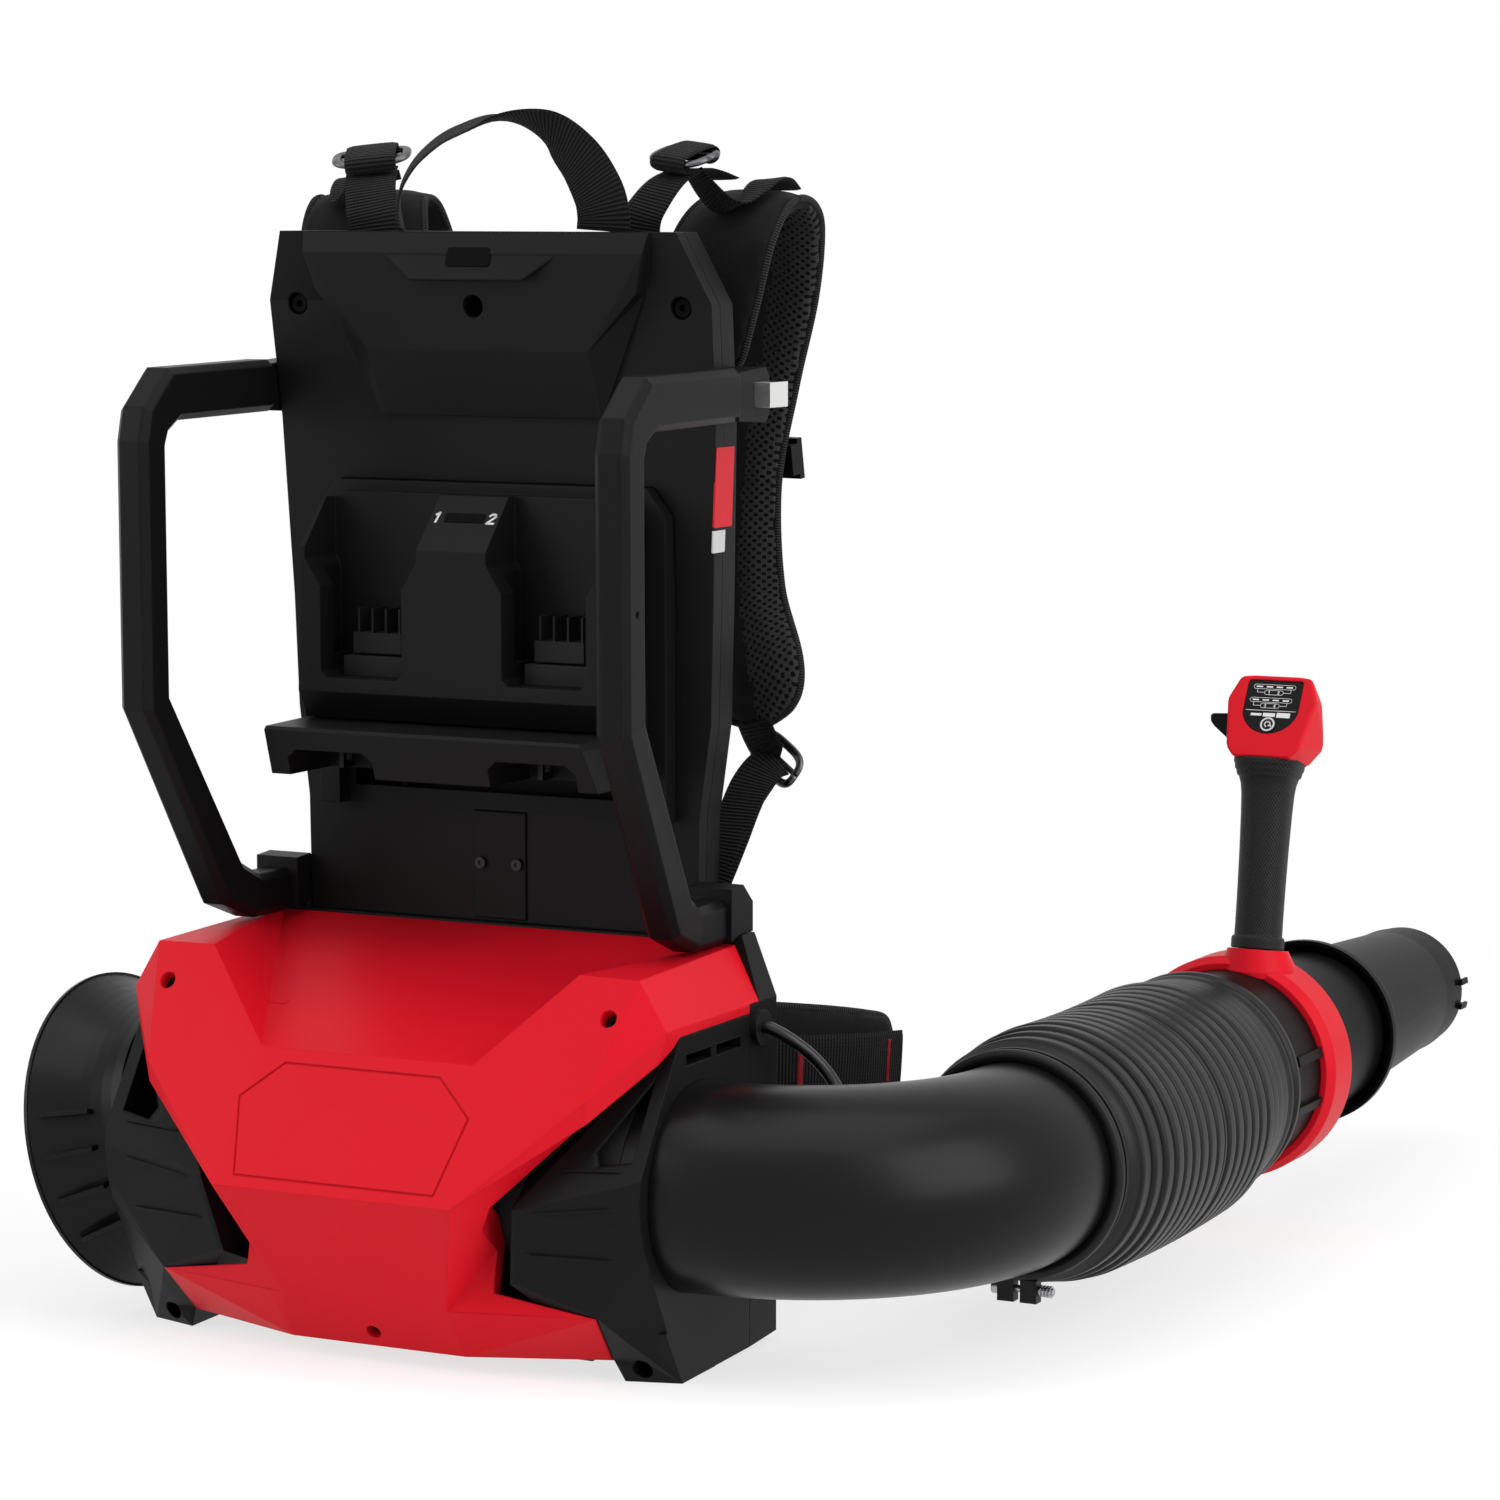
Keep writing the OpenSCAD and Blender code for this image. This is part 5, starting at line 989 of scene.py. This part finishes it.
def laid_out(obj, path, run, across):
    """Gives every point its place on the cloth: its nearest point along the route, and its distance across. Returns
    the points, their lengths s along, t across and o out of the pad's middle, and the unit vectors of these."""
    co = coords(obj.data).astype(float)
    near = np.concatenate([((part[:, None] - path) ** 2).sum(-1).argmin(1) for part in np.array_split(co, 40)])
    side, out = (v[near] for v in frames_along(path, across))
    ahead, gap = unit(np.gradient(path, axis=0))[near], co - path[near]
    s, t, o = run[near] + (gap * ahead).sum(1), (gap * side).sum(1), (gap * out).sum(1)
    set_weave(obj.data, np.stack([s, t], -1))
    return SimpleNamespace(points=co, s=s, t=t, o=o, ahead=ahead, side=side, out=out)


def drawn_to_seam(obj, path, run, half, across):
    """Foam that has drawn in as it swelled is stretched back to its sewn edge: along the pad over the last 24 mm of
    each end, and across it by the seam's half width over the widest point within 5 mm, 1.35 at most."""
    on = laid_out(obj, path, run, across)
    low, high, reach = on.s.min(), on.s.max(), 24 * MM
    pull = low * np.clip(1 - (on.s - low) / reach, 0, 1) + (high - run[-1]) * np.clip(1 - (high - on.s) / reach, 0, 1)
    edge = (sewn_half(run, half) + 0.9) * MM
    scale = np.ones_like(on.t)
    for sign in (1, -1):
        widest = np.array([(sign * on.t[np.abs(on.s - at) < 5 * MM]).max() for at in run])
        widest = np.convolve(np.pad(widest, 1, "edge"), np.ones(3) / 3, "valid")
        grown = np.clip(edge / np.maximum(widest, 4 * MM), 1.0, 1.35)
        scale = np.where(sign * on.t > 0, np.interp(on.s, run, grown), scale)
    moved(obj, on.points - on.ahead * pull[:, None] + on.side * (on.t * (scale - 1))[:, None])
    return laid_out(obj, path, run, across)


def foam_pad(name, points, half_widths, thick, across, cap, **form):
    """A pad of sewn foam, no point of it blown out by more than cap. Returns it, its seam and where its points are."""
    obj, *line = padded_form(name, points, half_widths, thick, across, **form)
    seam = (*line, across)
    plumped(obj, cap)
    return obj, seam, drawn_to_seam(obj, *seam)


def binding(name, seam, radius, inward=0.0, proud=0.4):
    """The braid sewn round a pad's edge: up one side, round the end, down the other side and round the first end."""
    path, run, half, across = seam
    side, out = frames_along(path, across)
    edge = ((sewn_half(run, half) + proud) * MM)[:, None] * side
    right, left = path + edge - out * inward * MM, (path - edge - out * inward * MM)[::-1]
    start = (right[0] + left[-1]) / 2
    loop = np.concatenate([[start], right, left, [start]]) / MM
    return dress(cord_form(name, loop, radius, step=2.2, around=12), piping_black)


def two_faced(obj, mesh_side):
    """mesh_side is true for each vertex on the mesh-covered face; a face takes the mesh where most corners are."""
    dress(obj, cloth_black, mesh_black)
    m = obj.data
    total, start = np.zeros((2, len(m.polygons)), np.int32)
    loops = np.zeros(len(m.loops), np.int32)
    m.polygons.foreach_get("loop_total", total)
    m.polygons.foreach_get("loop_start", start)
    m.loops.foreach_get("vertex_index", loops)
    share = np.add.reduceat(mesh_side[loops].astype(float), start) / total
    m.polygons.foreach_set("material_index", (share > 0.5).astype(np.int32))


def padded_pair(name, foam, braid):
    """Sets a right pad and its braid, and their mirror images, in place of the two nodes of that name."""
    left = mirrored(foam, name + "_left_foam"), mirrored(braid, name + "_left_piping")
    for side, (pad, edge) in (("right", (foam, braid)), ("left", left)):
        cushioned(pad, name + "_" + side)
        seated(edge, "machine", "webbing")


def cushioned(obj, node):
    smooth = obj.modifiers.new("smooth", "SUBSURF")
    smooth.levels = smooth.render_levels = 1
    seated(obj, "machine", "pad_mesh", node)


PAD_POINTS = [
    [108, 66, 548], [112, 66, 585], [119, 71, 622], [126, 90, 644], [128, 116, 636], [121, 135, 595], [110, 140, 540],
    [104, 134, 480], [108, 122, 415], [124, 104, 365], [129, 98, 343]
]
PAD_HALF = np.array([28, 36, 38, 35, 33, 29, 25, 22, 27, 33, 20])
PAD_ACROSS = np.array([1, -0.25, 0.0])


def shoulder_pad():
    """The right shoulder pad. The seam pulls the foam in just inside the piping, by 1.1 exp(-((e - 0.84) / 0.06)^2) mm;
    e is the share of the way to the edge."""
    pad, seam, on = foam_pad("shoulder_pad_right_foam", PAD_POINTS, PAD_HALF - 1.5, PAD_T - 3.5, PAD_ACROSS, 0.0028)
    path, run, half, _ = seam
    half_here = np.interp(on.s, run, half) * MM
    edge = np.clip(np.abs(on.t) / half_here, 0, 1.2)
    dip = -0.0011 * np.exp(-((edge - 0.84) / 0.06) ** 2)
    moved(pad, on.points + on.out * (dip * np.sign(on.o))[:, None])
    top = run[np.argmax(path[:, 2])]
    # The mesh covers only the descending face's part with t below -0.02 of the half width; the rest keeps the darker
    # cloth, which also stands in for painted shade there, between pad and frame.
    two_faced(pad, (on.o > -0.0015) & (on.s > top) & (on.t < -0.02 * half_here))
    return pad, binding("shoulder_pad_right_piping", seam, 2.1, inward=0.8)


def back_cushion():
    """The cushion against the wearer's back: 3.5 mm deep channels, exp(-(t / 9)^2) down the spine and four like
    exp(-((z - at) / 3.2)^2) across it, which rise to the sides. Its half width is 95 - 24 |2f - 1|^6 mm."""
    y0 = FRAME_BACK + 0.3 + BACK_T / 2 + 5.2
    points = [[0, y0, z] for z in np.linspace(295, 555, 14)]
    half = 95 - 24 * np.abs(2 * np.linspace(0, 1, 14) - 1) ** 6
    obj, _, on = foam_pad("back_cushion_foam", points, half, BACK_T - 4, SIDEWAYS, 0.003, power=0.5, around=72)
    co = on.points
    face = co[:, 1] > y0 * MM
    spine = np.exp(-(on.t / 0.009) ** 2)
    z = co[:, 2] / MM - 12 * np.abs(on.t) / 0.09
    rows = sum(np.exp(-((z - at) / 3.2) ** 2) for at in (350, 405, 460, 515))
    co[:, 1] -= np.where(face, 0.0035 * np.clip(spine + rows, 0, 1), 0)
    moved(obj, co)
    two_faced(obj, face)
    return obj


HIP_POINTS = [[84, 39, 153], [114, 45, 153], [140, 66, 153], [162, 92, 152], [178, 126, 149], [184, 158, 146]]


def hip_wing():
    """The right wing of the hip belt, 35 - 15 f^1.6 mm to each side of its middle line."""
    half = 35 - 15 * np.linspace(0, 1, len(HIP_POINTS)) ** 1.6
    wing, seam, on = foam_pad("hip_wing_right_foam", HIP_POINTS, half, HIP_T - 2, UPRIGHT, 0.002, power=0.55)
    two_faced(wing, on.o < -0.001)
    return wing, binding("hip_wing_right_piping", seam, 2.5), seam[0]


padded_pair("shoulder_pad", *shoulder_pad())
cushioned(back_cushion(), "back_cushion")
*wing_and_piping, wing_path = hip_wing()
padded_pair("hip_wing", *wing_and_piping)

BAND_FROM = 6                            # the first point of the wing's line that the webbing lies on
hip_side, hip_out = frames_along(wing_path, UPRIGHT)
lift = (HIP_T / 2 + 0.3 + WEB_T / 2) * MM
hip_line = (wing_path + hip_out * lift - 3 * MM * UPRIGHT)[BAND_FROM:] / MM
strap(both_sides(webbing("hip_webbing_band", hip_line, UPRIGHT, WEB_W)), "hip_webbing")


def bartack(at, tall=24.0):
    """A dense zigzag of thread across the hip webbing, sewn just over its surface."""
    out, side = hip_out[at + BAND_FROM], hip_side[at + BAND_FROM]
    z = np.linspace(-tall / 2, tall / 2, 61)
    sway = 1.9 * np.where(np.arange(61) % 2, 1, -1)
    line = hip_line[at] + out + z[:, None] * side + sway[:, None] * np.cross(side, out)
    return cord_form("hip_bartack", line, 0.55, step=0.8, around=6)


tacks = joined("hip_bartacks", [bartack(12), bartack(len(hip_line) - 4)])
fitted(both_sides(tacks), thread_red, "machine", "webbing")


# ---- camera, light and floor ----

EYE, AHEAD, UP = (1.335354, -2.321912, 0.645767), (-0.445175, 0.887833, -0.116497), (-0.052841, 0.103826, 0.993191)


def camera():
    data = bpy.data.cameras.new("view")
    data.lens, data.sensor_width, data.clip_end = 112.92, 36.0, 50
    ahead, up = Vector(AHEAD), Vector(UP)
    turn = Matrix((ahead.cross(up), up, -ahead)).transposed()
    cam = bpy.context.scene.camera = linked("view", data)
    cam.matrix_world = Matrix.Translation(EYE) @ turn.to_4x4()


def softbox(name, at, target, size, power):
    data = bpy.data.lights.new(name, "AREA")
    data.shape, data.energy = "RECTANGLE", power
    data.size, data.size_y = size
    obj = linked(name, data)
    obj.location = at
    obj.rotation_euler = (Vector(target) - Vector(at)).to_track_quat("-Z", "Y").to_euler()


def mixed(tree, factor, a, b):
    return add(tree, "MixShader", {0: factor, 1: a, 2: b})[0]


def seen_straight(tree):
    """1 for rays from the camera, off a gloss or through glass, and 0 for the light that falls on things."""
    path = add(tree, "LightPath")
    seen = sums(tree, "MAXIMUM", path["Is Camera Ray"], path["Is Glossy Ray"])
    return sums(tree, "MAXIMUM", seen, path["Is Transmission Ray"])


def surroundings():
    """Pure white where it is seen, and a dimmer white as light."""
    world = bpy.context.scene.world = bpy.data.worlds.new("studio")
    tree = bare(world)
    dim, white = (add(tree, "Background", {"Color": grey(1.0), "Strength": s})[0] for s in (0.28, 1.0))
    add(tree, "OutputWorld", {"Surface": mixed(tree, seen_straight(tree), dim, white)})


def floor():
    """A white ground with soft shadows, which fades into plain white from 0.55 to 1.5 m away."""
    line = np.linspace(-6, 6, 60)
    x, y = np.meshgrid(line, line, indexing="ij")
    i = np.arange(x.size).reshape(x.shape)
    quads = np.stack([i[:-1, :-1], i[1:, :-1], i[1:, 1:], i[:-1, 1:]], -1)
    ground = piece("studio_floor", np.stack([x, y, 0 * x - 0.0003], -1), quads)
    mat, tree = finish_named("studio_floor")
    away = add(tree, "VectorMath", {0: on_object(tree)}, operation="LENGTH")["Value"]
    fade = add(tree, "MapRange", {0: away, 1: 0.55, 2: 1.5, 3: 0.0, 4: 1.0}, interpolation_type="SMOOTHSTEP")
    pale, soft = (add(tree, "BsdfDiffuse", {"Color": grey(v)})[0] for v in (0.9, 0.36))
    glow, white = (add(tree, "Emission", {"Color": grey(1.0), "Strength": v})[0] for v in (0.72, 1.0))
    near = add(tree, "AddShader", {0: soft, 1: glow})[0]
    shown = mixed(tree, seen_straight(tree), pale, mixed(tree, fade[0], near, white))
    add(tree, "OutputMaterial", {"Surface": shown})
    dress(ground, mat)


bpy.context.scene.view_settings.view_transform = "Standard"
camera()
surroundings()
for box in (
    ("right_box", (3.1, -0.5, 1.6), (0.1, 0, 0.3), (2.4, 2.8), 72),
    ("left_box", (-2.6, -2.2, 1.4), (0, 0, 0.3), (2.2, 2.6), 42),
    ("top_box", (0.3, -0.5, 3.0), (0.1, 0, 0.2), (3.4, 2.6), 46)
):
    softbox(*box)
floor()
